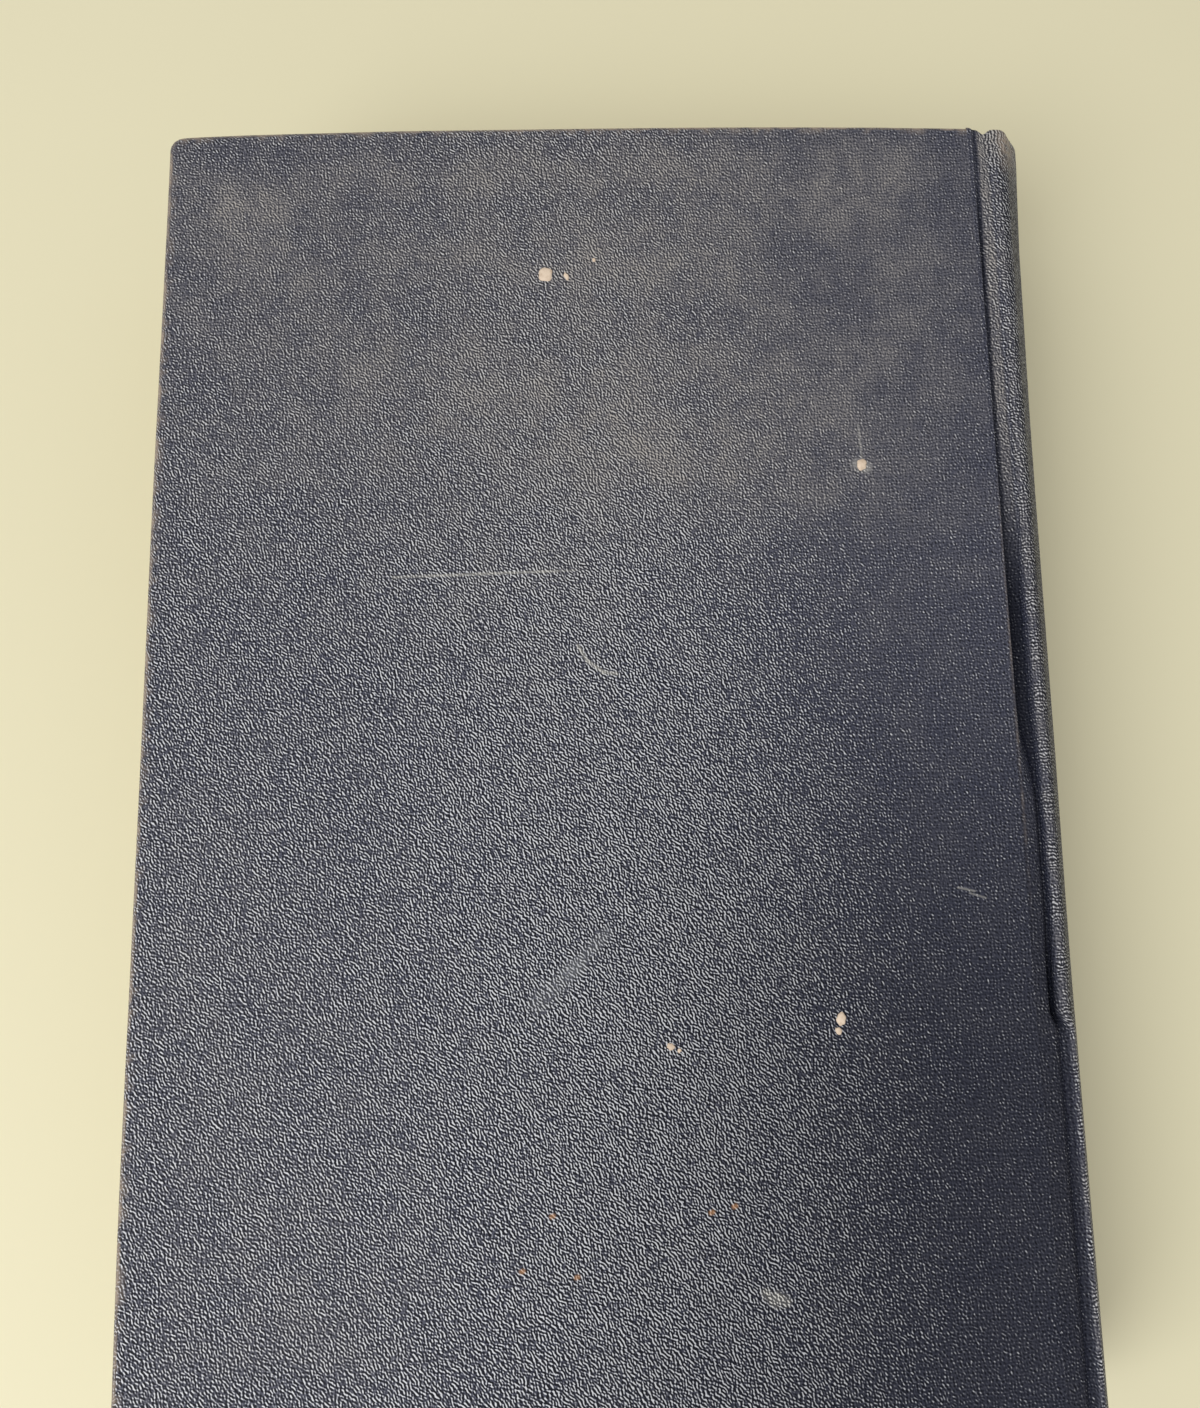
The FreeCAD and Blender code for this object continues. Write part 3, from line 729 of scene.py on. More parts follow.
@dataclass
class CoverCloth:
    """The cloth of one cover: outer face, rolled edges and turn-ins."""

    sizes: BookSizes
    half: Half
    wear: Wear
    pitch: float = 1.1
    inner_edge: float = 0.5
    weld_distance: float = 0.004
    front_dust: float = 0.5
    rim_wear: Tuple[float, ...] = (0.35, 0.8, 1.0, 0.9, 0.5, 0.25)
    fore_bow: float = 0.42
    tail_bow: float = 0.35
    knock: float = 0.50
    tip_knock: float = 0.20
    tail_knock: float = 0.25
    flat_dip: float = 0.17
    long_wave: float = 0.10
    short_wave: float = 0.05
    dip_share: float = 0.8
    head_bow: Tuple[Point2, ...] = ((9, 0.0), (22, 0.25), (40, 0.55), (57, 0.65), (74, 0.72), (91, 0.68),
                                    (108, 0.60), (125, 0.45), (133, 0.22), (140, -0.05))

    def place(self, p: Array, q: Array, inset: float, end: float) -> Array:
        """Place perimeter or face points on a rounded outline that is inset.

        Args:
            p: share of the way from the fore edge to the spine side.
            q: share of the way from the middle to head (1) or tail (-1).
            inset: distance inside the cover's outline.
            end: x where the outline stops at the spine side.

        Returns:
            x and y of each point.
        """
        s = self.sizes
        x0, y1 = s.fore + inset, s.half - inset
        radius = max(s.board_corner - inset, 1e-6)
        x = x0 + (end - x0) * p
        y = y1 * q
        u = np.clip((x0 + radius - x) / radius, 0, 1)
        v = np.clip((np.abs(y) - (y1 - radius)) / radius, 0, 1)
        x = np.where((u > 0) & (v > 0), x0 + radius - radius * u * np.sqrt(1 - v * v / 2), x)
        y = np.where((u > 0) & (v > 0),
                     np.sign(y) * (y1 - radius + radius * v * np.sqrt(1 - u * u / 2)), y)
        return np.stack([x, y], -1)

    def _stations(self) -> List[Tuple[float, float, float]]:
        """List the lines that run round the cover's rim.

        Returns:
            Inset, height and spine end of each line.
        """
        s = self.sizes
        end = s.board_high[0]
        rows = []
        for angle in np.linspace(0, math.pi / 2, 6)[1:]:
            share = angle / (math.pi / 2)
            rows.append((s.board_edge * (1 - math.sin(angle)), s.top - s.board_edge * (1 - math.cos(angle)),
                         s.flat_end + (end - s.flat_end) * share))
        for share in (0.35, 0.7):
            high, low = s.top - s.board_edge, s.wrap_low + self.inner_edge
            rows.append((0.0, high + (low - high) * share, end))
        for angle in np.linspace(0, math.pi / 2, 4):
            rows.append((self.inner_edge * (1 - math.cos(angle)),
                         s.wrap_low + self.inner_edge * (1 - math.sin(angle)), end))
        for inset in np.linspace(self.inner_edge, s.turn_in, 7)[1:]:
            rows.append((float(inset), s.wrap_low, end))
        return rows

    def build(self) -> Object:
        """Build the cover's cloth as one closed shell.

        Returns:
            The finished object, without a material.
        """
        s = self.sizes
        across = int((s.flat_end - s.fore) / self.pitch)
        along = int(2 * s.half / self.pitch)
        p = np.linspace(0, 1, across + 1)
        q = np.linspace(-1, 1, along + 1)
        grid_p, grid_q = np.meshgrid(p, q)
        face = self.place(grid_p, grid_q, s.board_edge, s.flat_end)
        flat = np.concatenate([face, np.full(face.shape[:2] + (1,), s.top)], -1).reshape(-1, 3)
        sheet = flat[:, :2].copy()
        faces = grid_faces(along + 1, across + 1)

        rim_p = np.concatenate([p[::-1], np.zeros(along - 1), p])
        rim_q = np.concatenate([-np.ones(across + 1), q[1:-1], np.ones(across + 1)])
        start = self.place(rim_p, rim_q, s.board_edge, s.flat_end)
        rings = [np.column_stack([start, np.full(len(start), s.top)])]
        lines = [start]
        outward = np.stack([np.where(rim_p == 0, -1.0, 0.0), np.where(np.abs(rim_q) == 1, rim_q, 0.0)], -1)
        for inset, height, end in self._stations():
            ring = self.place(rim_p, rim_q, inset, end)
            rings.append(np.column_stack([ring, np.full(len(ring), height)]))
            step = np.linalg.norm(rings[-1][0] - rings[-2][0])
            lines.append(lines[-1] + outward * step)
        first = len(flat)
        rim = np.concatenate(rings)
        points = np.concatenate([flat, rim])
        sheet = np.concatenate([sheet, np.concatenate(lines)])
        faces += grid_faces(len(rings), len(rim_p), first)
        points = self.knocked(points)
        dust = self.wear.dust(sheet[:, 0], sheet[:, 1])
        rub = self.wear.rub(sheet[:, 0], sheet[:, 1])
        # Painted shade: darker towards the cover's spine side and tail.
        deep = self.wear.shade(sheet[:, 0], sheet[:, 1])
        if self.half is Half.FRONT:
            points = flip_over(points, s)
            faces = [f[::-1] for f in faces]
            dust = dust * self.front_dust
        worn = np.zeros(len(rings))
        worn[:len(self.rim_wear)] = self.rim_wear
        edge = np.concatenate([np.zeros(first), np.repeat(worn, len(rim_p))])
        thing = make_object(self.half.value + "_cover_cloth_worn", points, faces, sheet,
                            {"dust": dust, "rub": rub, "deep": deep, "edge": edge})
        weld(thing, self.weld_distance)
        thicken(thing, s.cloth)
        shade_smooth(thing)
        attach(thing, self.half.value + "_cover")
        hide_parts(self.half.value + "_cover_cloth")
        return thing

    def knocked(self, points: Array) -> Array:
        """Bow the head edge, knock back its fore corner and let the face wave a little.

        Args:
            points: the cover's points.

        Returns:
            The moved points.
        """
        s = self.sizes
        moved = points.copy()
        x, y, z = points.T
        near_head = smooth(y, s.half - 14, s.half - 1)
        near_tail = smooth(-y, s.half - 14, s.half - 1)
        from_fore = x - s.fore
        bow = np.interp(from_fore, *zip(*self.head_bow))
        bow -= self.knock * mound(from_fore, 1.0, 7.0) + self.tip_knock * mound(from_fore, 0.3, 2.4)
        moved[:, 1] += near_head * bow
        moved[:, 1] += near_tail * self.tail_knock * mound(from_fore, 2.0, 6.0)
        moved[:, 0] -= self.fore_bow * smooth(-x, 40, 70) * smooth(y, -112, -60) * (1 - smooth(y, 30, 106))
        moved[:, 0] -= self.tail_bow * smooth(-x, 40, 70) * (1 - smooth(y, -90, 20))
        inside = smooth(from_fore, 0, 12) * smooth(s.flat_end - x, 0, 12)
        wave = self.long_wave * np.sin(x / 23 + 0.6) * np.cos(y / 31 - 0.4)
        wave = wave + self.short_wave * np.sin(x / 9 + y / 13)
        upper = smooth(z, s.wrap_low + 1, s.top - 0.1)
        moved[:, 2] -= upper * inside * (self.flat_dip + wave) * self.dip_share
        return moved


@dataclass
class Board:
    """A binder's board shaped to its cloth, with the joint cloth stuck to its spine edge."""

    sizes: BookSizes
    cover: CoverCloth
    pitch: float = 2.4
    gap: float = 0.04

    def build(self, board: Material, cloth: Material) -> Object:
        """Build the board.

        Args:
            board: the board's own finish.
            cloth: finish of the spine edge.

        Returns:
            The finished object.
        """
        s = self.sizes
        across = int((s.board_high[0] - s.fore) / self.pitch)
        along = int(2 * s.half / self.pitch)
        p, q = np.meshgrid(np.linspace(0, 1, across + 1), np.linspace(-1, 1, along + 1))
        outline = self.cover.place(p, q, s.cloth + self.gap, s.board_high[0]).reshape(-1, 2)
        levels = (s.top - s.cloth - self.gap, s.wrap_low + s.cloth + self.gap)
        points = np.concatenate([np.column_stack([outline, np.full(len(outline), z)]) for z in levels])
        count, row = len(outline), across + 1
        faces = grid_faces(along + 1, row) + grid_faces(along + 1, row, count, flip=True)
        loop = list(range(row)) + [j * row + across for j in range(1, along + 1)]
        loop += [along * row + i for i in range(across - 1, -1, -1)]
        loop += [j * row for j in range(along - 1, 0, -1)]
        faces += [(a, b, b + count, a + count) for a, b in zip(loop, loop[1:] + loop[:1])]
        points = self.cover.knocked(points)
        if self.cover.half is Half.FRONT:
            points = flip_over(points, s)
        thing = make_object(self.cover.half.value + "_board_worn", points, faces, points[:, [2, 1]])
        weld(thing, DOUBLED, outwards=True)
        dress(thing, board)
        thing.data.materials.append(cloth)
        for face in thing.data.polygons:
            face.material_index = int(face.center.x > (s.board_high[0] - 0.01) * MM)
        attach(thing, self.cover.half.value + "_cover")
        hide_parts(self.cover.half.value + "_board")
        return thing


class Fold(Enum):
    """Ways the cloth goes down the board's edge, through the groove and over the ridge.

    Each is a line of distances past the cover's edge and drops below its face.
    """

    PLAIN = ((-0.9, 0.0), (-0.42, 0.03), (-0.12, 0.25), (0.02, 0.8), (0.12, 1.6), (0.6, 2.3), (1.3, 2.45),
             (2.0, 2.3), (2.6, 1.8), (2.85, 1.0), (3.15, 0.42), (3.8, 0.20), (4.5, 0.40), (5.15, 0.92))
    SHALLOW = ((-0.9, 0.0), (-0.42, 0.03), (-0.12, 0.25), (0.02, 0.8), (0.2, 1.35), (0.6, 1.45), (1.2, 1.2),
               (1.9, 1.02), (2.6, 1.02), (2.95, 0.86), (3.25, 0.42), (3.9, 0.22), (4.6, 0.42), (5.2, 0.92))
    PRESSED = ((-0.9, 0.0), (-0.42, 0.03), (-0.12, 0.22), (0.02, 0.6), (0.15, 1.0), (0.4, 1.2), (0.8, 1.0),
               (1.4, 0.68), (2.1, 0.46), (2.8, 0.34), (3.4, 0.30), (4.0, 0.34), (4.7, 0.55), (5.3, 1.02))
    CAPPED = ((-0.9, 0.0), (-0.42, 0.02), (-0.12, 0.10), (0.02, 0.22), (0.15, 0.32), (0.4, 0.34),
              (0.8, 0.30), (1.4, 0.34), (2.1, 0.42), (2.8, 0.34), (3.4, 0.30), (4.0, 0.34), (4.7, 0.55),
              (5.3, 1.02))
    FILLED = ((-0.9, 0.0), (-0.42, 0.02), (0.0, 0.05), (0.6, 0.12), (1.2, 0.28), (1.7, 0.60), (2.1, 1.20),
              (2.45, 1.75), (2.75, 1.6), (2.9, 1.0), (3.2, 0.42), (3.8, 0.20), (4.5, 0.40), (5.15, 0.92))
    LEANING = ((-0.9, 0.0), (-0.42, 0.02), (0.1, 0.06), (0.7, 0.18), (1.25, 0.42), (1.6, 0.95), (1.85, 1.8),
               (2.25, 2.4), (2.7, 1.9), (2.5, 1.1), (2.75, 0.42), (3.5, 0.08), (4.35, 0.22), (5.1, 0.85))
    STEPPED = ((-0.9, 0.0), (-0.42, 0.02), (0.3, 0.05), (1.1, 0.12), (1.9, 0.25), (2.4, 0.58), (2.75, 0.98),
               (3.1, 1.16), (3.5, 1.20), (3.9, 1.08), (4.3, 0.76), (4.75, 0.48), (5.2, 0.56), (5.5, 1.0))
    SLACK = ((-0.9, 0.0), (-0.42, 0.02), (0.0, 0.12), (0.3, 0.45), (0.55, 0.95), (0.9, 1.5), (1.5, 1.75),
             (2.2, 1.7), (2.9, 1.4), (3.4, 0.95), (3.8, 0.55), (4.3, 0.34), (4.8, 0.5), (5.3, 0.96))


@dataclass
class CaseSection:
    """The case's outline across the joint and the spine, lofted from tail to head."""

    sizes: BookSizes
    rear_folds: Tuple[Tuple[float, Fold], ...] = (
        (-111, Fold.SLACK), (-99, Fold.STEPPED), (-44.4, Fold.STEPPED), (-41.2, Fold.LEANING),
        (-37, Fold.LEANING), (-25, Fold.FILLED), (-10, Fold.FILLED), (8, Fold.PLAIN), (24, Fold.PLAIN),
        (46, Fold.SHALLOW), (66, Fold.SHALLOW), (86, Fold.PRESSED), (104, Fold.CAPPED))
    front_folds: Tuple[Tuple[float, Fold], ...] = (
        (-104, Fold.SHALLOW), (-70, Fold.PLAIN), (48, Fold.PLAIN), (76, Fold.SHALLOW), (98, Fold.PRESSED))
    rear_swell: Tuple[Point2, ...] = (
        (-111, 0.2), (-100, -0.15), (-38, -0.25), (-24, -0.15), (0, 0.12), (20, 0.25), (45, 0.42),
        (60, 0.60), (75, 0.88), (90, 1.15), (100, 1.55), (107, 1.85), (111, 1.9))
    samples: int = 34
    front_share: float = 0.35
    joint_share: float = 0.55

    def _keys(self, y: float, half: Half) -> Array:
        """Mix the folds at one place.

        Args:
            y: place from tail to head.
            half: which cover's joint.

        Returns:
            The section's points, as distance and drop.
        """
        folds = self.rear_folds if half is Half.REAR else self.front_folds
        if y <= folds[0][0]:
            return np.array(folds[0][1].value)
        for (low, below), (high, above) in zip(folds, folds[1:]):
            if y <= high:
                share = float(smooth(y, low, high))
                return np.array(below.value) * (1 - share) + np.array(above.value) * share
        return np.array(folds[-1][1].value)

    def swell(self, y: float, half: Half) -> float:
        """Tell how far the ridge and the round beside it stand out at one place."""
        rear = float(np.interp(y, *zip(*self.rear_swell)))
        return rear if half is Half.REAR else self.front_share * rear

    def joint(self, y: float, half: Half) -> Array:
        """Trace one joint at one place.

        Args:
            y: place from tail to head.
            half: which cover's joint.

        Returns:
            x and height above the book's middle plane, from the cover to the ridge.
        """
        keys = self._keys(y, half)
        padded = np.concatenate([[2 * keys[0] - keys[1]], keys, [2 * keys[-1] - keys[-2]]])
        share = np.linspace(0, len(keys) - 1, self.samples)
        step = np.minimum(share.astype(int), len(keys) - 2)
        t = (share - step)[:, None]
        a, b, c, d = (padded[step + i] for i in range(4))
        curve = 0.5 * (2 * b + (c - a) * t + (2 * a - 5 * b + 4 * c - d) * t ** 2
                       + (3 * b - a - 3 * c + d) * t ** 3)
        s = self.sizes
        out = self.joint_share * self.swell(y, half) * smooth(curve[:, 0], 1.8, 5.2)
        return np.column_stack([s.cover_edge + curve[:, 0] + out, s.middle - curve[:, 1]])

    def spine(self, y: float, count: int) -> Array:
        """Trace the spine at one place, from the rear joint to the front joint.

        Args:
            y: place from tail to head.
            count: points between the joints.

        Returns:
            x and height above the middle plane.
        """
        s = self.sizes
        rear, front = self.joint(y, Half.REAR)[-1], self.joint(y, Half.FRONT)[-1] * (1, -1)
        angles = np.linspace(math.atan2(rear[1], rear[0] - s.centre_x),
                             math.atan2(front[1], front[0] - s.centre_x), count)
        side = smooth(angles, -0.15, 0.34)
        out = self.swell(y, Half.REAR) * side
        out = out + self.swell(y, Half.FRONT) * (1 - side) * smooth(-angles, 0, 0.3)
        blend_in = smooth(np.abs(angles), 0.40, 0.55)
        ends = np.where(angles > 0, np.hypot(rear[0] - s.centre_x, rear[1]),
                        np.hypot(front[0] - s.centre_x, front[1]))
        radius = (s.case_round + out) * (1 - blend_in) + ends * blend_in
        return np.column_stack([s.centre_x + radius * np.cos(angles), radius * np.sin(angles)])


@dataclass
class CaseBack:
    """The cloth over the joints and the spine, turned in at head and tail."""

    sizes: BookSizes
    section: CaseSection
    row_pitch: float = 0.8
    spine_points: int = 64
    turned_length: float = 12.0
    cap_layers: float = 1.05
    joint_layers: float = 0.85
    card: float = 0.28
    spine_start: float = 9.0
    inlay_rows: int = 90
    floor_drops: Tuple[Point2, ...] = (
        (-111, 1.75), (-99, 1.2), (-44, 1.2), (-41, 2.4), (-37, 2.4), (-25, 1.75), (-10, 1.75), (8, 2.45),
        (24, 2.45), (46, 1.45), (66, 1.45), (86, 1.2), (104, 0.42))
    groove_floor_shade: Tuple[Point2, ...] = (
        (-111, 0.7), (-46, 0.7), (-42.5, 0.95), (-38, 0.9), (-30, 0.62), (-12, 0.62), (0, 0.85), (20, 0.93),
        (46, 0.7), (70, 0.7), (90, 0.8), (111, 0.6))
    board_edge_wear_and_highlight: Tuple[Point2, ...] = ((-95, 0), (-30, 0), (-10, 0.5), (20, 0.7), (50, 0))

    def _rows(self, layers: float) -> List[Tuple[float, float]]:
        """List the rows of the cloth, from the tail's turn-in to the head's.

        Args:
            layers: thickness that the cloth rolls over at head and tail.

        Returns:
            Place along the book and depth under the outer face of each row.
        """
        s = self.sizes
        roll = layers / 2
        outer = np.arange(-s.half + roll, s.half - roll + 1e-6, self.row_pitch)
        rows = [(float(y), 0.0) for y in outer] + [(s.half - roll, 0.0)]
        for angle in np.linspace(0, math.pi, 6)[1:]:
            rows.append((s.half - roll + roll * math.sin(angle), roll * (1 - math.cos(angle))))
        rows += [(s.half - roll - d, layers) for d in np.linspace(0, self.turned_length, 6)[1:]]
        start = [(-y, depth) for y, depth in rows[::-1] if depth > 0]
        return start + rows

    def _sweep(self, name: str, trace: Callable[[float], Array], layers: float,
               sheet_start: float) -> Object:
        """Sweep a changing section along the book.

        Args:
            name: the object's name.
            trace: gives the section at a place.
            layers: thickness that the cloth rolls over at head and tail.
            sheet_start: place of the section's first point on the flat sheet.

        Returns:
            The swept object with its thickness.
        """
        s = self.sizes
        rows, sheets, tops = [], [], []
        travelled = 0.0
        earlier = None
        for y, depth in self._rows(layers):
            line = trace(float(np.clip(y, -s.half, s.half)))
            ahead = np.gradient(line, axis=0)
            normal = np.column_stack([-ahead[:, 1], ahead[:, 0]])
            normal /= np.linalg.norm(normal, axis=1)[:, None]
            if normal[:, 0].sum() + normal[0, 1] < 0:
                normal = -normal
            place = line - normal * depth
            along = y - self._end_dip(line[:, 0], y)
            rows.append(np.column_stack([place[:, 0], along, place[:, 1] + s.middle]))
            length = np.concatenate([[0], np.cumsum(np.linalg.norm(np.diff(line, axis=0), axis=1))])
            if earlier is not None:
                travelled += math.hypot(y - earlier[0], depth - earlier[1])
            earlier = (y, depth)
            sheets.append(np.column_stack([sheet_start + length, np.full(len(line), travelled)]))
            tops.append(line)
        points = np.concatenate(rows)
        sheet = np.concatenate(sheets)
        sheet[:, 1] -= sheet[:, 1].mean()
        thing = make_object(name, points, grid_faces(len(rows), len(rows[0])), sheet,
                            self._wear(points, np.concatenate(tops)))
        self._face_out(thing)
        thicken(thing, s.cloth)
        shade_smooth(thing)
        return thing

    def _face_out(self, thing: Object) -> None:
        """Turn the faces of an open sheet so that its outermost face looks away from the block.

        Args:
            thing: the sheet.
        """
        mesh = thing.data
        best = max(mesh.polygons, key=lambda f: abs(f.center.z / MM - self.sizes.middle) * 0.02
                   + f.center.x / MM - abs(f.center.y / MM) * 0.05)
        outward = Vector((best.center.x - self.sizes.centre_x * MM, 0,
                          best.center.z - self.sizes.middle * MM))
        if best.normal.dot(outward) < 0:
            mesh.flip_normals()

    def _end_dip(self, x: Array, y: float) -> Array:
        """Pull the cloth's end in beside each board and past the ridge, as the head cap shows.

        Args:
            x: places across the cloth.
            y: place from tail to head.

        Returns:
            How far the cloth is pulled in, with the sign of its end.
        """
        past = x - self.sizes.cover_edge
        notch = 0.85 * mound(past, 2.1, 0.85) + 0.22 * smooth(past, -0.9, 0.8)
        fall = 0.9 * smooth(past, 4.9, 8.6)
        near = float(smooth(abs(y), self.sizes.half - 7, self.sizes.half - 0.6)) * math.copysign(1, y)
        return (notch + fall) * near

    def _wear(self, points: Array, line: Array) -> Dict[str, Array]:
        """Work out dust, rubbing and painted shade on the joints, the ridges and the caps.

        Args:
            points: the cloth's points.
            line: x and height of the outer face at each point.

        Returns:
            Values for each point, by attribute name.
        """
        past = line[:, 0] - self.sizes.cover_edge
        y = points[:, 1]
        low, high = smooth(-y, 41.0, 44.6), smooth(y, 24, 60)
        foot = 3.05 + 1.35 * low
        ridge = smooth(past, foot - 0.15, foot + 0.25) * (1 - smooth(past, foot + 0.9, foot + 1.9))
        cap = smooth(np.abs(y), self.sizes.half - 11, self.sizes.half - 2)
        outer = smooth(past, foot + 0.8, foot + 2.0)
        drop = self.sizes.middle - np.abs(line[:, 1])
        deepest = np.interp(y, *zip(*self.floor_drops))
        # Painted shade: the groove's floor is darker the deeper it lies.
        deep = smooth(drop / deepest, 0.42, 0.88) * np.interp(y, *zip(*self.groove_floor_shade))
        deep = deep * (1 - smooth(past, foot - 0.25, foot + 0.1)) * (1 - high * smooth(past, 0.6, 1.1))
        # A pale line along the board's rounded edge at the joint: partly wear, partly painted highlight.
        board_edge_wear_and_highlight = mound(past, -0.35, 0.20) * np.interp(y, *zip(*self.board_edge_wear_and_highlight))
        dust = 0.16 + 0.12 * outer + 0.22 * ridge + 0.50 * cap * smooth(past, 2.0, 3.6)
        dust = dust + 0.62 * high * smooth(past, 0.5, 1.1) * (1 - smooth(past, 2.3, 3.0))
        rub = 0.08 + 0.10 * ridge + 0.50 * outer + 0.34 * high * smooth(past, 0.5, 1.6)
        # Painted shade under the ridge's foot, and on the ridge's outer side, which faces away from the
        # light.
        undercut_shade = 0.72 * (1 - smooth(y, -40, 40)) * (1 - smooth(past, foot - 0.6, foot + 0.5))
        side = 0.62 * smooth(past, foot + 0.9, foot + 1.8) * (1 - 0.75 * smooth(past, 7.5, 12)) * (1 - cap)
        rib = (0.20 * ridge + 0.14 * outer) * (1 - 0.6 * high) * (1 - cap)
        edge = 0.7 * board_edge_wear_and_highlight + 0.85 * cap * smooth(past, 4.0, 5.4) * (1 - smooth(past, 6.5, 9))
        edge = edge + 0.5 * smooth(np.abs(y), self.sizes.half - 0.7, self.sizes.half - 0.1)
        values = {"dust": dust * (1 - 0.8 * deep), "rub": rub * (1 - deep),
                  "deep": np.maximum(np.maximum(deep, undercut_shade), side), "rib": rib,
                  "warp": 0.26 * cap * smooth(past, 1.6, 2.6), "edge": edge}
        return {name: np.clip(value, 0, 1) for name, value in values.items()}

    def inlay(self) -> Object:
        """Build the card strip between the spine's cloth and its turned ends.

        Returns:
            The finished object, without a material.
        """
        s = self.sizes
        reach = s.half - self.cap_layers / 2 - 0.1
        rows = []
        share = 1 - s.cloth / s.case_round
        for y in np.linspace(-reach, reach, self.inlay_rows):
            line = self.section.spine(float(y), self.spine_points)[2:-2]
            inner = s.centre_x + (line[:, 0] - s.centre_x) * share
            dip = self._end_dip(line[:, 0], float(y))
            rows.append(np.column_stack([inner, y - dip, line[:, 1] * share + s.middle]))
        thing = make_object("spine_inlay_card", np.concatenate(rows), grid_faces(len(rows), len(rows[0])))
        self._face_out(thing)
        thicken(thing, self.card)
        shade_smooth(thing)
        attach(thing, "block")
        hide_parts("spine_inlay")
        return thing

    def build(self) -> List[Object]:
        """Build the two joints and the spine.

        Returns:
            Rear joint, front joint and spine, without materials.
        """
        s = self.sizes
        made = []
        for half in (Half.REAR, Half.FRONT):
            sign = 1 if half is Half.REAR else -1

            def trace(y: float, half: Half = half, sign: int = sign) -> Array:
                """Give the joint's section on its own side of the middle plane."""
                return self.section.joint(y, half) * (1, sign)

            joint = self._sweep(half.value + "_joint_cloth_bent", trace, self.joint_layers, s.flat_end)
            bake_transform(joint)
            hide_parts(half.value + "_joint_cloth")
            made.append(joint)
        spine = self._sweep("spine_cloth_worn", lambda y: self.section.spine(y, self.spine_points),
                            self.cap_layers, s.flat_end + self.spine_start)
        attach(spine, "block")
        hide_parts("spine_cloth")
        made.append(spine)
        return made


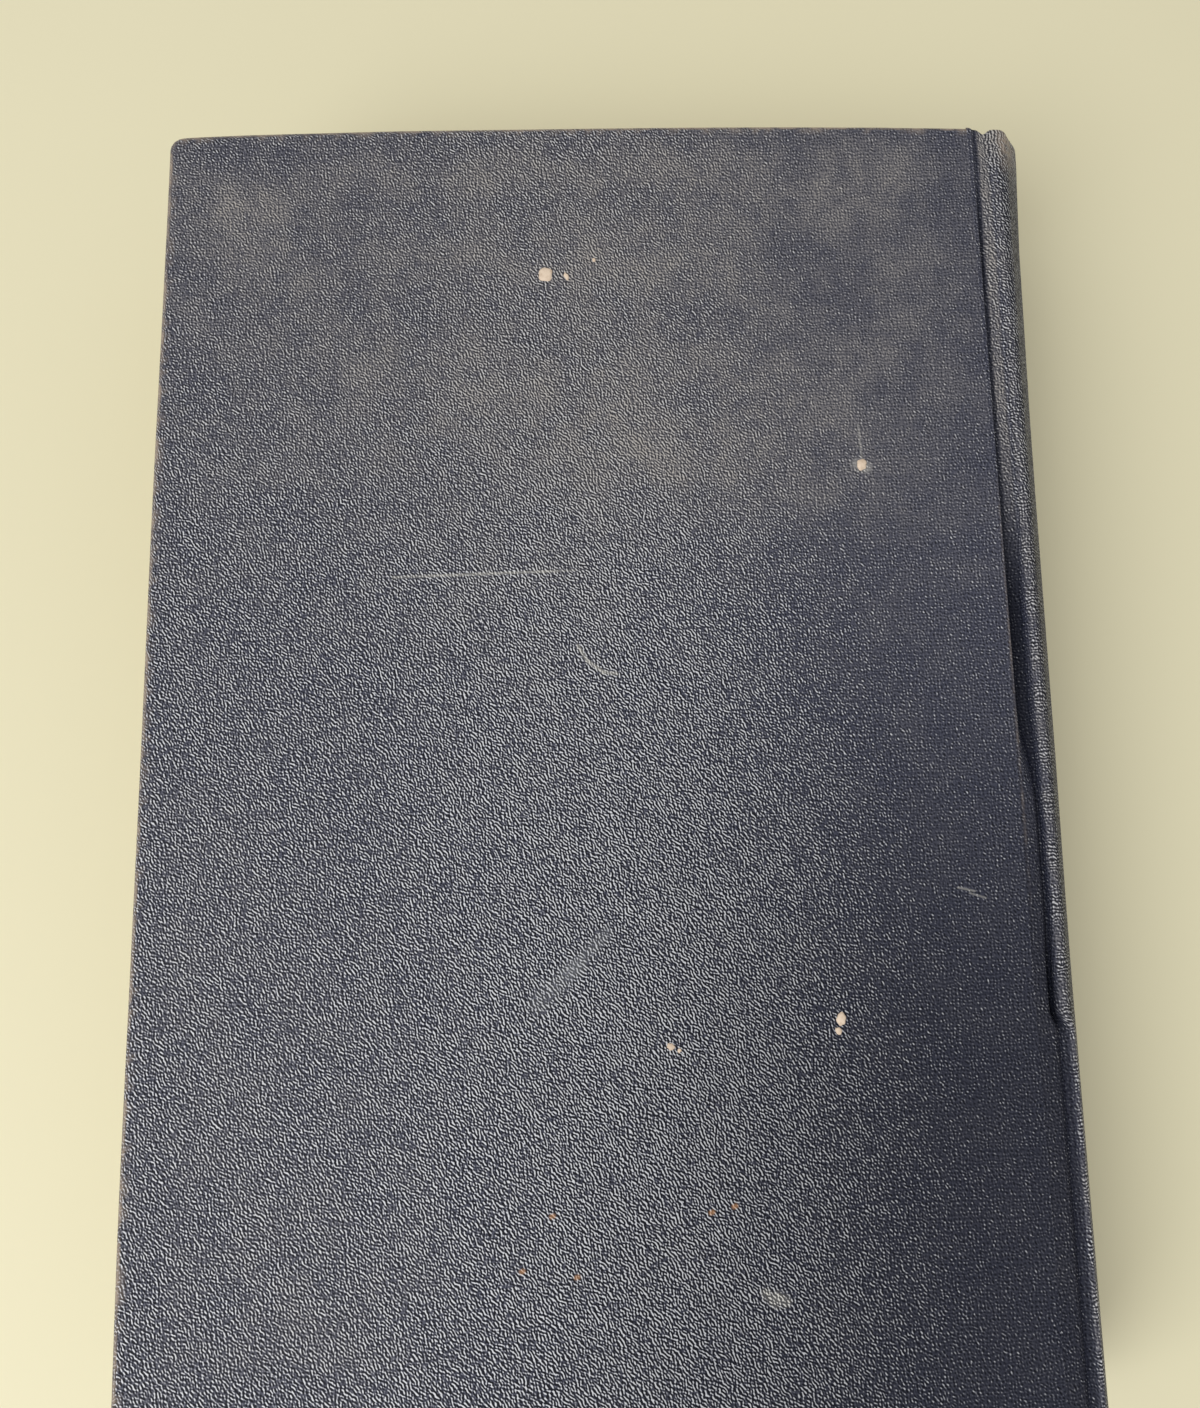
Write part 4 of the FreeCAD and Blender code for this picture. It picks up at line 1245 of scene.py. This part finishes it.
@dataclass
class LeafBlock:
    """The leaves as one solid whose cut edges show them in thin steps."""

    sizes: BookSizes
    groups: int = 118
    sections: int = 22
    across: int = 44
    along: int = 26
    unevenness: float = 0.07
    fold_depth: float = 0.10
    fold_tone: float = 0.35
    tone_spread: float = 0.55
    fan_depth: float = 14
    crowding: float = 1.8
    spine_gap: float = 0.4

    def _lift(self, t: float, share: Array) -> Array:
        """Tell how far a leaf fans out near the spine.

        Args:
            t: place in the block, -1 to 1.
            share: way through the fan, 0 to 1.

        Returns:
            Lift in millimetres.
        """
        round_lift = 1 - np.sqrt(np.clip(1 - share ** 2, 0, 1))
        weight = abs(t) ** 4
        return self.sizes.shoulder * t * ((1 - weight) * share ** 2 + weight * round_lift)

    def build(self) -> Object:
        """Build the block.

        Returns:
            The finished object, without a material.
        """
        s = self.sizes
        random = np.random.default_rng(SEED)
        half_y = s.page_high[1]
        fore_round = (s.block_half ** 2 + s.fore_hollow ** 2) / (2 * s.fore_hollow)
        rings, tones = [], []
        for group in range(self.groups):
            depth = random.uniform(0, self.unevenness, 3)
            fold = (group * self.sections) % self.groups < self.sections
            tone = float(random.uniform(0, self.tone_spread)) + (self.fold_tone if fold else 0.0)
            for edge in (0, 1):
                t = -1 + 2 * (group + edge) / self.groups
                edge_cut = depth + (self.fold_depth if fold and edge == 0 else 0.0)
                if group + edge in (0, self.groups):
                    edge_cut = edge_cut * 0
                rings.append(self._ring(t, edge_cut, half_y, fore_round))
                tones.append(np.full(len(rings[-1]), tone))
        count = len(rings[0])
        points = np.concatenate(rings)
        faces = []
        for row in range(len(rings) - 1):
            for i in range(count):
                a, b = row * count + i, row * count + (i + 1) % count
                faces.append((a, b, b + count, a + count))
        points, faces = self._caps(points, faces, len(rings), count)
        tone = np.concatenate(tones + [np.zeros(len(points) - len(rings) * count)])
        thing = make_object("leaves", points, faces, floats={"tone": np.clip(tone, 0, 1)})
        weld(thing, DOUBLED, outwards=True)
        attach(thing, "block")
        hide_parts("text_block")
        return thing

    def _ring(self, t: float, cut: Array, half_y: float, fore_round: float) -> Array:
        """Trace a leaf's outline: fore edge up, head to the spine, spine down, tail back.

        Args:
            t: place in the block, -1 to 1.
            cut: how far fore edge, head and tail are set back.
            half_y: half the leaf's height.
            fore_round: radius of the hollowed fore edge.

        Returns:
            Points of the outline.
        """
        s = self.sizes
        z = t * s.block_half
        x_fore = s.page_low[0] + math.sqrt(fore_round ** 2 - z ** 2) - (fore_round - s.fore_hollow) + cut[0]
        spine_z = t * s.tip_z
        x_spine = s.centre_x + math.sqrt((s.leaf_round - self.spine_gap) ** 2 - spine_z ** 2)
        fan = s.shoulder + (1 - abs(t)) * self.fan_depth
        spread = 1 - (1 - np.linspace(0, 1, self.across)) ** self.crowding
        x = x_fore + (x_spine - x_fore) * spread
        lift = self._lift(t, np.clip((x - (x_spine - fan)) / fan, 0, 1))
        head = np.column_stack([x, np.full(self.across, half_y - cut[1]), s.middle + z + lift])
        tail = head[::-1] * (1, -1, 1) + (0, cut[2] - cut[1], 0)
        ys = np.linspace(tail[-1, 1], head[0, 1], self.along)[1:-1]
        fore = np.column_stack([np.full(len(ys), x_fore), ys, np.full(len(ys), head[0, 2])])
        spine_y = np.linspace(head[-1, 1], tail[0, 1], self.along)[1:-1]
        back = np.column_stack([np.full(len(spine_y), x[-1]), spine_y, np.full(len(spine_y), head[-1, 2])])
        return np.concatenate([fore, head, back, tail])

    def _caps(self, points: Array, faces: List[Face], rows: int, count: int) -> Tuple[Array, List[Face]]:
        """Close the first and last leaf with grids between head and tail.

        Args:
            points: points so far.
            faces: faces so far.
            rows: number of rings.
            count: points in a ring.

        Returns:
            All points and all faces.
        """
        inner = self.along - 2
        extra = []
        total = len(points)
        for row, turned in ((0, False), (rows - 1, True)):
            ring = points[row * count:(row + 1) * count]
            fore = list(range(row * count, row * count + inner))
            head = list(range(row * count + inner, row * count + inner + self.across))
            back = list(range(head[-1] + 1, head[-1] + 1 + inner))
            tail = list(range(back[-1] + 1, back[-1] + 1 + self.across))[::-1]
            columns = []
            for i in range(self.across):
                if i == 0:
                    columns.append([tail[0]] + fore + [head[0]])
                elif i == self.across - 1:
                    columns.append([tail[-1]] + back[::-1] + [head[-1]])
                else:
                    low, high = points[tail[i]], points[head[i]]
                    between = [low + (high - low) * k / (inner + 1) for k in range(1, inner + 1)]
                    numbers = list(range(total + len(extra), total + len(extra) + inner))
                    extra += between
                    columns.append([tail[i]] + numbers + [head[i]])
            for i in range(self.across - 1):
                for k in range(inner + 1):
                    quad = (columns[i][k], columns[i + 1][k], columns[i + 1][k + 1], columns[i][k + 1])
                    faces.append(quad if turned else quad[::-1])
        return np.concatenate([points, np.array(extra)]), faces


@dataclass
class EndpaperHinge:
    """The endpaper's strip between a board and the shoulder tip, which bends as the cover opens."""

    sizes: BookSizes
    half: Half
    paper: float = 0.12
    paste: float = 0.02
    lap: float = 1.5
    clearance: float = 0.24
    points_across: int = 18
    rows: int = 60

    def build(self) -> Object:
        """Build the strip.

        Returns:
            The finished object, without a material.
        """
        s = self.sizes
        start = (s.board_high[0] - self.lap, s.paste_low[2] + self.paste)
        bend_x, bend_z = s.tip_x - s.shoulder, s.page_high[2]
        radius = s.shoulder - self.clearance
        angles = np.linspace(-math.pi / 2, -0.12, self.points_across - 3)
        curve = [start, (s.board_high[0] - 0.2, s.paste_low[2] + self.paste),
                 ((s.board_high[0] + bend_x) / 2, bend_z - radius + 0.03)]
        curve += [(bend_x + radius * math.cos(a), bend_z + radius * math.sin(a)) for a in angles]
        line = np.array(curve)
        ys = np.linspace(-s.page_high[1], s.page_high[1], self.rows)
        points = np.concatenate([np.column_stack([line[:, 0], np.full(len(line), y), line[:, 1]])
                                 for y in ys])
        faces = grid_faces(len(ys), len(line))
        if self.half is Half.FRONT:
            points = flip_over(points, s)
            faces = [f[::-1] for f in faces]
        thing = make_object(self.half.value + "_endpaper_hinge", points, faces)
        thicken(thing, self.paper)
        shade_smooth(thing)
        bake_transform(thing)
        return thing


@dataclass
class Headband:
    """A headband's bead: silk turns of two colours, wound side by side along the round."""

    sizes: BookSizes
    name: str
    side: int
    stand_off: float = 0.92
    bead: float = 0.9
    turn: float = 0.62
    yarn: float = 0.24
    bead_sides: int = 14
    yarn_sides: int = 6
    path_points: int = 60

    def _tree(self, materials: Sequence[Material]) -> Tree:
        """Make the tree that sets turns of yarn along the input curve.

        Args:
            materials: the two yarns.

        Returns:
            The node tree, with its sizes as inputs.
        """
        tree = bpy.data.node_groups.new(self.name + "_turns", "GeometryNodeTree")
        tree.interface.new_socket("Geometry", in_out="INPUT", socket_type="NodeSocketGeometry")
        for label in ("Turn spacing", "Bead radius", "Yarn radius"):
            tree.interface.new_socket(label, in_out="INPUT", socket_type="NodeSocketFloat")
        tree.interface.new_socket("Geometry", in_out="OUTPUT", socket_type="NodeSocketGeometry")
        given = add(tree, "NodeGroupInput", {}, {})
        places = add(tree, "GeometryNodeCurveToPoints", {"mode": "LENGTH"},
                     {"Curve": given.outputs[0], "Length": given.outputs[1]})
        path, thread = (add(tree, "GeometryNodeCurvePrimitiveCircle", {},
                            {"Resolution": sides, "Radius": size})
                        for sides, size in ((self.bead_sides, given.outputs[2]),
                                            (self.yarn_sides, given.outputs[3])))
        ring = add(tree, "GeometryNodeCurveToMesh", {},
                   {"Curve": path.outputs[0], "Profile Curve": thread.outputs[0]})
        number = add(tree, "GeometryNodeInputIndex", {}, {})
        joined = add(tree, "GeometryNodeJoinGeometry", {}, {})
        for remainder, material in enumerate(materials):
            parity = add(tree, "ShaderNodeMath", {"operation": "MODULO"}, {0: number.outputs[0], 1: 2.0})
            chosen = add(tree, "FunctionNodeCompare", {"data_type": "FLOAT", "operation": "EQUAL"},
                         {0: parity.outputs[0], 1: float(remainder), "Epsilon": 0.1})
            turns = add(tree, "GeometryNodeInstanceOnPoints", {},
                        {"Points": places.outputs[0], "Selection": chosen.outputs[0],
                         "Instance": ring.outputs[0], "Rotation": places.outputs["Rotation"]})
            real = add(tree, "GeometryNodeRealizeInstances", {}, {0: turns.outputs[0]})
            painted = add(tree, "GeometryNodeSetMaterial", {},
                          {"Geometry": real.outputs[0], "Material": material})
            tree.links.new(painted.outputs[0], joined.inputs[0])
        add(tree, "NodeGroupOutput", {}, {0: joined.outputs[0]})
        return tree

    def build(self, materials: Sequence[Material]) -> Object:
        """Build the bead.

        Args:
            materials: the two yarns.

        Returns:
            The finished object.
        """
        s = self.sizes
        y = self.side * (s.page_high[1] + self.stand_off)
        curve = bpy.data.curves.new(self.name + "_path", "CURVE")
        curve.dimensions = "3D"
        spline = curve.splines.new("POLY")
        radius = s.leaf_round + 0.15 - self.bead
        reach = math.asin((s.tip_z - 2.2) / s.leaf_round)
        angles = np.linspace(-reach, reach, self.path_points)
        spline.points.add(len(angles) - 1)
        for point, angle in zip(spline.points, angles):
            point.co = ((s.centre_x + radius * math.cos(angle)) * MM, y * MM,
                        (s.middle + radius * math.sin(angle)) * MM, 1)
        path = place_object(self.name, curve)
        modifier = path.modifiers.new("turns", "NODES")
        tree = self._tree(materials)
        modifier.node_group = tree
        values = {"Turn spacing": self.turn * MM, "Bead radius": (self.bead - 0.7 * self.yarn) * MM,
                  "Yarn radius": self.yarn * 1.25 * MM}
        for item in tree.interface.items_tree:
            if item.item_type == "SOCKET" and item.in_out == "INPUT" and item.name in values:
                modifier[item.identifier] = values[item.name]
        thing = place_object(self.name + "_turns", evaluated_mesh(path))
        bpy.data.objects.remove(path)
        shade_smooth(thing)
        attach(thing, "block")
        return thing


@dataclass
class DriedSpecks:
    """Specks of dried paint on the rear cover, each a small lumpy blister.

    A speck has its place, its half width and half height in millimetres, and its turn in radians.
    """

    sizes: BookSizes
    places: Tuple[Tuple[float, float, float, float, float], ...] = (
        (-10.4, 83.6, 1.25, 1.35, 0.0), (-6.8, 83.2, 0.38, 0.75, 0.3), (-2.0, 86.2, 0.3, 0.35, 0.0),
        (42.3, 48.5, 0.85, 1.0, 0.2), (34.0, -41.8, 0.75, 1.0, 0.1), (33.5, -43.6, 0.5, 0.6, 0.4),
        (7.4, -45.4, 0.62, 0.55, 0.0), (8.7, -46.0, 0.32, 0.35, 0.0),
    )
    height: float = 0.16
    sunk: float = 0.12
    lumps: int = 5
    lumpiness: float = 0.10
    spokes: int = 22
    rings: int = 5

    def build(self) -> Object:
        """Build all the specks as one object.

        Returns:
            The finished object, without a material.
        """
        random = np.random.default_rng(SEED + 5)
        points, faces = [], []
        spokes, rings = self.spokes, self.rings
        for x, y, wide, tall, turn in self.places:
            first = len(points)
            lumps = random.uniform(-1, 1, self.lumps)
            points.append((x, y, self.sizes.top + self.height))
            for ring in range(1, rings + 1):
                share = ring / rings
                for spoke in range(spokes):
                    angle = math.tau * spoke / spokes
                    ripple = sum(lump * math.sin((k + 2) * angle + k) for k, lump in enumerate(lumps))
                    edge = 1 + self.lumpiness * ripple * share
                    px, py = wide * share * edge * math.cos(angle), tall * share * edge * math.sin(angle)
                    height = self.height * math.sqrt(max(1 - share ** 2, 0)) - self.sunk * (share == 1)
                    points.append((x + px * math.cos(turn) - py * math.sin(turn),
                                   y + px * math.sin(turn) + py * math.cos(turn), self.sizes.top + height))
            for spoke in range(spokes):
                after = (spoke + 1) % spokes
                faces.append((first, first + 1 + spoke, first + 1 + after))
                for ring in range(rings - 1):
                    a = first + 1 + ring * spokes
                    faces.append((a + spoke, a + spokes + spoke, a + spokes + after, a + after))
            last = first + 1 + (rings - 1) * spokes
            faces.append(tuple(last + k for k in range(spokes))[::-1])
        thing = make_object("dried_specks", np.array(points), faces)
        shade_smooth(thing)
        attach(thing, "rear_cover")
        return thing


@dataclass
class Studio:
    """Pale table, soft light from the lower left and the camera over the cover.

    The lamp's places and sizes are in metres, the table's and the camera's in millimetres.
    """

    table: str = "#ddd8ba"
    table_reach: float = 2500.0
    table_drop: float = 0.35
    lamp_place: Point3 = (-0.45, -0.38, 0.74)
    lamp_aim: Point3 = (0, 0, 0.03)
    lamp_size: Point2 = (0.50, 0.62)
    lamp_watts: float = 5.4
    lamp_tint: Point3 = (1.0, 0.995, 0.98)
    room_tint: Tuple[float, float, float, float] = (1.0, 0.97, 0.91, 1)
    room_strength: float = 0.67
    camera_place: Point3 = (-5.9, -24.2, 230.0)
    camera_turn: Point3 = (9.70, -0.83, -1.13)
    focal_pixels: float = 1200.0
    sensor: float = 36.0

    def build(self) -> None:
        """Make the floor, the lights, the world and the camera."""
        self._floor()
        self._lights()
        self._camera()

    def _floor(self) -> None:
        """Lay a smooth pale table under the book."""
        material, tree = blank_material("painted_table")
        shader = add(tree, "ShaderNodeBsdfPrincipled", {},
                     {"Base Color": linear(self.table), "Roughness": 0.6})
        add(tree, "ShaderNodeOutputMaterial", {}, {"Surface": shader.outputs[0]})
        # An open front cover lies level with the book's foot and waves a little: the table is just under it.
        reach, drop = self.table_reach, self.table_drop
        corners = np.array([(-reach, -reach, -drop), (reach, -reach, -drop),
                            (reach, reach, -drop), (-reach, reach, -drop)])
        floor = make_object("table_top", corners, [(0, 1, 2, 3)])
        floor.data.materials.append(material)

    def _lights(self) -> None:
        """Hang one broad lamp on the left, and fill with the world."""
        lamp = bpy.data.lights.new("window_lamp", "AREA")
        lamp.shape = "RECTANGLE"
        lamp.size, lamp.size_y = self.lamp_size
        lamp.energy = self.lamp_watts
        lamp.color = self.lamp_tint
        hung = place_object("window_lamp", lamp)
        hung.location = self.lamp_place
        aim = Vector(self.lamp_aim) - hung.location
        hung.rotation_euler = aim.to_track_quat("-Z", "Y").to_euler()
        world = bpy.data.worlds.new("soft_room")
        world.use_nodes = True
        sky = world.node_tree.nodes["Background"]
        sky.inputs[0].default_value = self.room_tint
        sky.inputs[1].default_value = self.room_strength
        bpy.context.scene.world = world

    def _camera(self) -> None:
        """Stand the camera where the photo was taken from."""
        data = bpy.data.cameras.new("camera")
        data.sensor_width = self.sensor
        data.lens = self.sensor * self.focal_pixels / max(PHOTO_SIZE)
        data.clip_start = 0.01
        camera = place_object("camera", data)
        camera.location = [v * MM for v in self.camera_place]
        camera.rotation_euler = Euler([math.radians(a) for a in self.camera_turn], "XYZ")
        bpy.context.scene.camera = camera
        bpy.context.scene.view_settings.view_transform = "Standard"


def dress(thing: Object, material: Material) -> None:
    """Give an object one material in place of any it has."""
    thing.data.materials.clear()
    thing.data.materials.append(material)


def report(thing: Object) -> None:
    """Log a piece's name and how many faces it has."""
    log.info("%s: %d faces", thing.name, len(thing.data.polygons))


def dress_hidden_pieces(endpaper: Material) -> None:
    """Finish the carried-over pieces inside the case and the endpapers.

    Args:
        endpaper: the endpapers' finish.
    """
    kraft = Paper("kraft_lining", "#a4835a", "#86683f", 3.0).build()
    mull = Yarn("cotton_mull", "#ded9c8", "#9c937b", 1.1).build()
    thread = Yarn("linen_thread", "#e6dfcb", "#b8ad90", 0.4).build()
    finishes = {"flyleaf": endpaper, "pastedown": endpaper, "spine_lining": kraft, "mull": mull,
                "mull_flange": mull, "sewing_thread": thread, "headband": mull, "tailband": mull}
    for node, thing in frame["nodes"].items():
        for ending, material in finishes.items():
            if node == ending or node.endswith("_" + ending):
                dress(thing, material)


def handling_marks() -> Tuple[Mark, ...]:
    """List the rear cover's scratches, scuffs and rust specks.

    Returns:
        The marks, from head to tail, with the rust specks last.
    """
    rust, pale = "#b98a62", "#c9c8c4"
    marks = [
        Mark((42.1, 55.5), (42.4, 49.5), 0.35, 0.55, pale),
        Mark((41.6, 48.6), (43.0, 48.0), 1.5, 0.85, pale),
        Mark((-36.0, 30.1), (-9.0, 30.8), 0.40, 0.62, pale),
        Mark((-30.0, 30.3), (-6.1, 30.9), 0.24, 0.5, pale),
        Mark((-5.9, 18.2), (-4.4, 15.6), 0.45, 0.9, pale),
        Mark((-4.4, 15.6), (-1.8, 13.7), 0.50, 0.95, pale),
        Mark((-1.8, 13.7), (0.3, 13.4), 0.50, 0.8, pale),
        Mark((-13.0, -38.6), (-7.0, -33.0), 2.4, 0.34),
        Mark((-8.0, -34.0), (-2.2, -27.9), 1.5, 0.40),
        Mark((53.6, -22.0), (56.2, -22.6), 0.26, 0.85, pale),
        Mark((55.4, -22.9), (57.9, -23.7), 0.24, 0.75, pale),
        Mark((20.6, -81.4), (22.0, -82.8), 1.1, 0.95, pale, 0.12),
        Mark((22.4, -81.8), (23.6, -82.6), 1.2, 0.95, pale, 0.12),
    ]
    for x, y in ((-15.8, -77.5), (-7.6, -78.5), (-11.2, -69.8), (12.9, -69.8), (16.4, -69.0)):
        marks.append(Mark((x - 0.15, y), (x + 0.15, y + 0.1), 0.55, 0.8, rust, 0.6))
    return tuple(marks)


def main() -> None:
    """Build the book in order, then the studio."""
    sizes = BookSizes()
    rear_cloth = BookCloth(marks=handling_marks()).build()
    cloth = BookCloth(name="navy_book_cloth_plain").build()
    greyboard = Paper("binders_greyboard", "#8f8270", "#6f6454", 2.0).build()
    for half in Half:
        covering = CoverCloth(sizes, half, Wear())
        cover = covering.build()
        dress(cover, rear_cloth if half is Half.REAR else cloth)
        report(cover)
        report(Board(sizes, covering).build(greyboard, cloth))
    back = CaseBack(sizes, CaseSection(sizes))
    for piece in back.build():
        dress(piece, cloth)
        report(piece)
    endpaper = Paper("aged_endpaper", "#e3d8bd", "#d3c39c", 14.0).build()
    card = Paper("manila_card", "#b79a6a", "#9a7c4c", 4.0).build()
    leaf_edges = Paper("aged_leaf_edges", "#dccfae", "#b59d72", 12.0, streaks=True).build()
    for piece, finish in ((back.inlay(), card), (LeafBlock(sizes).build(), leaf_edges),
                          (EndpaperHinge(sizes, Half.REAR).build(), endpaper),
                          (EndpaperHinge(sizes, Half.FRONT).build(), endpaper)):
        dress(piece, finish)
        report(piece)
    yarns = [Yarn("cream_silk", "#dcd3bb", "#a89c7c", 0.3).build(),
             Yarn("blue_silk", "#3d4763", "#262c40", 0.3).build()]
    for name, side in (("headband", 1), ("tailband", -1)):
        report(Headband(sizes, name, side).build(yarns))
    specks = DriedSpecks(sizes).build()
    dress(specks, Paper("dried_cream_paint", "#d9c7b4", "#b9a48f", 0.8, 0.6).build())
    report(specks)
    dress_hidden_pieces(endpaper)
    Studio().build()


if __name__ == "__main__":
    main()
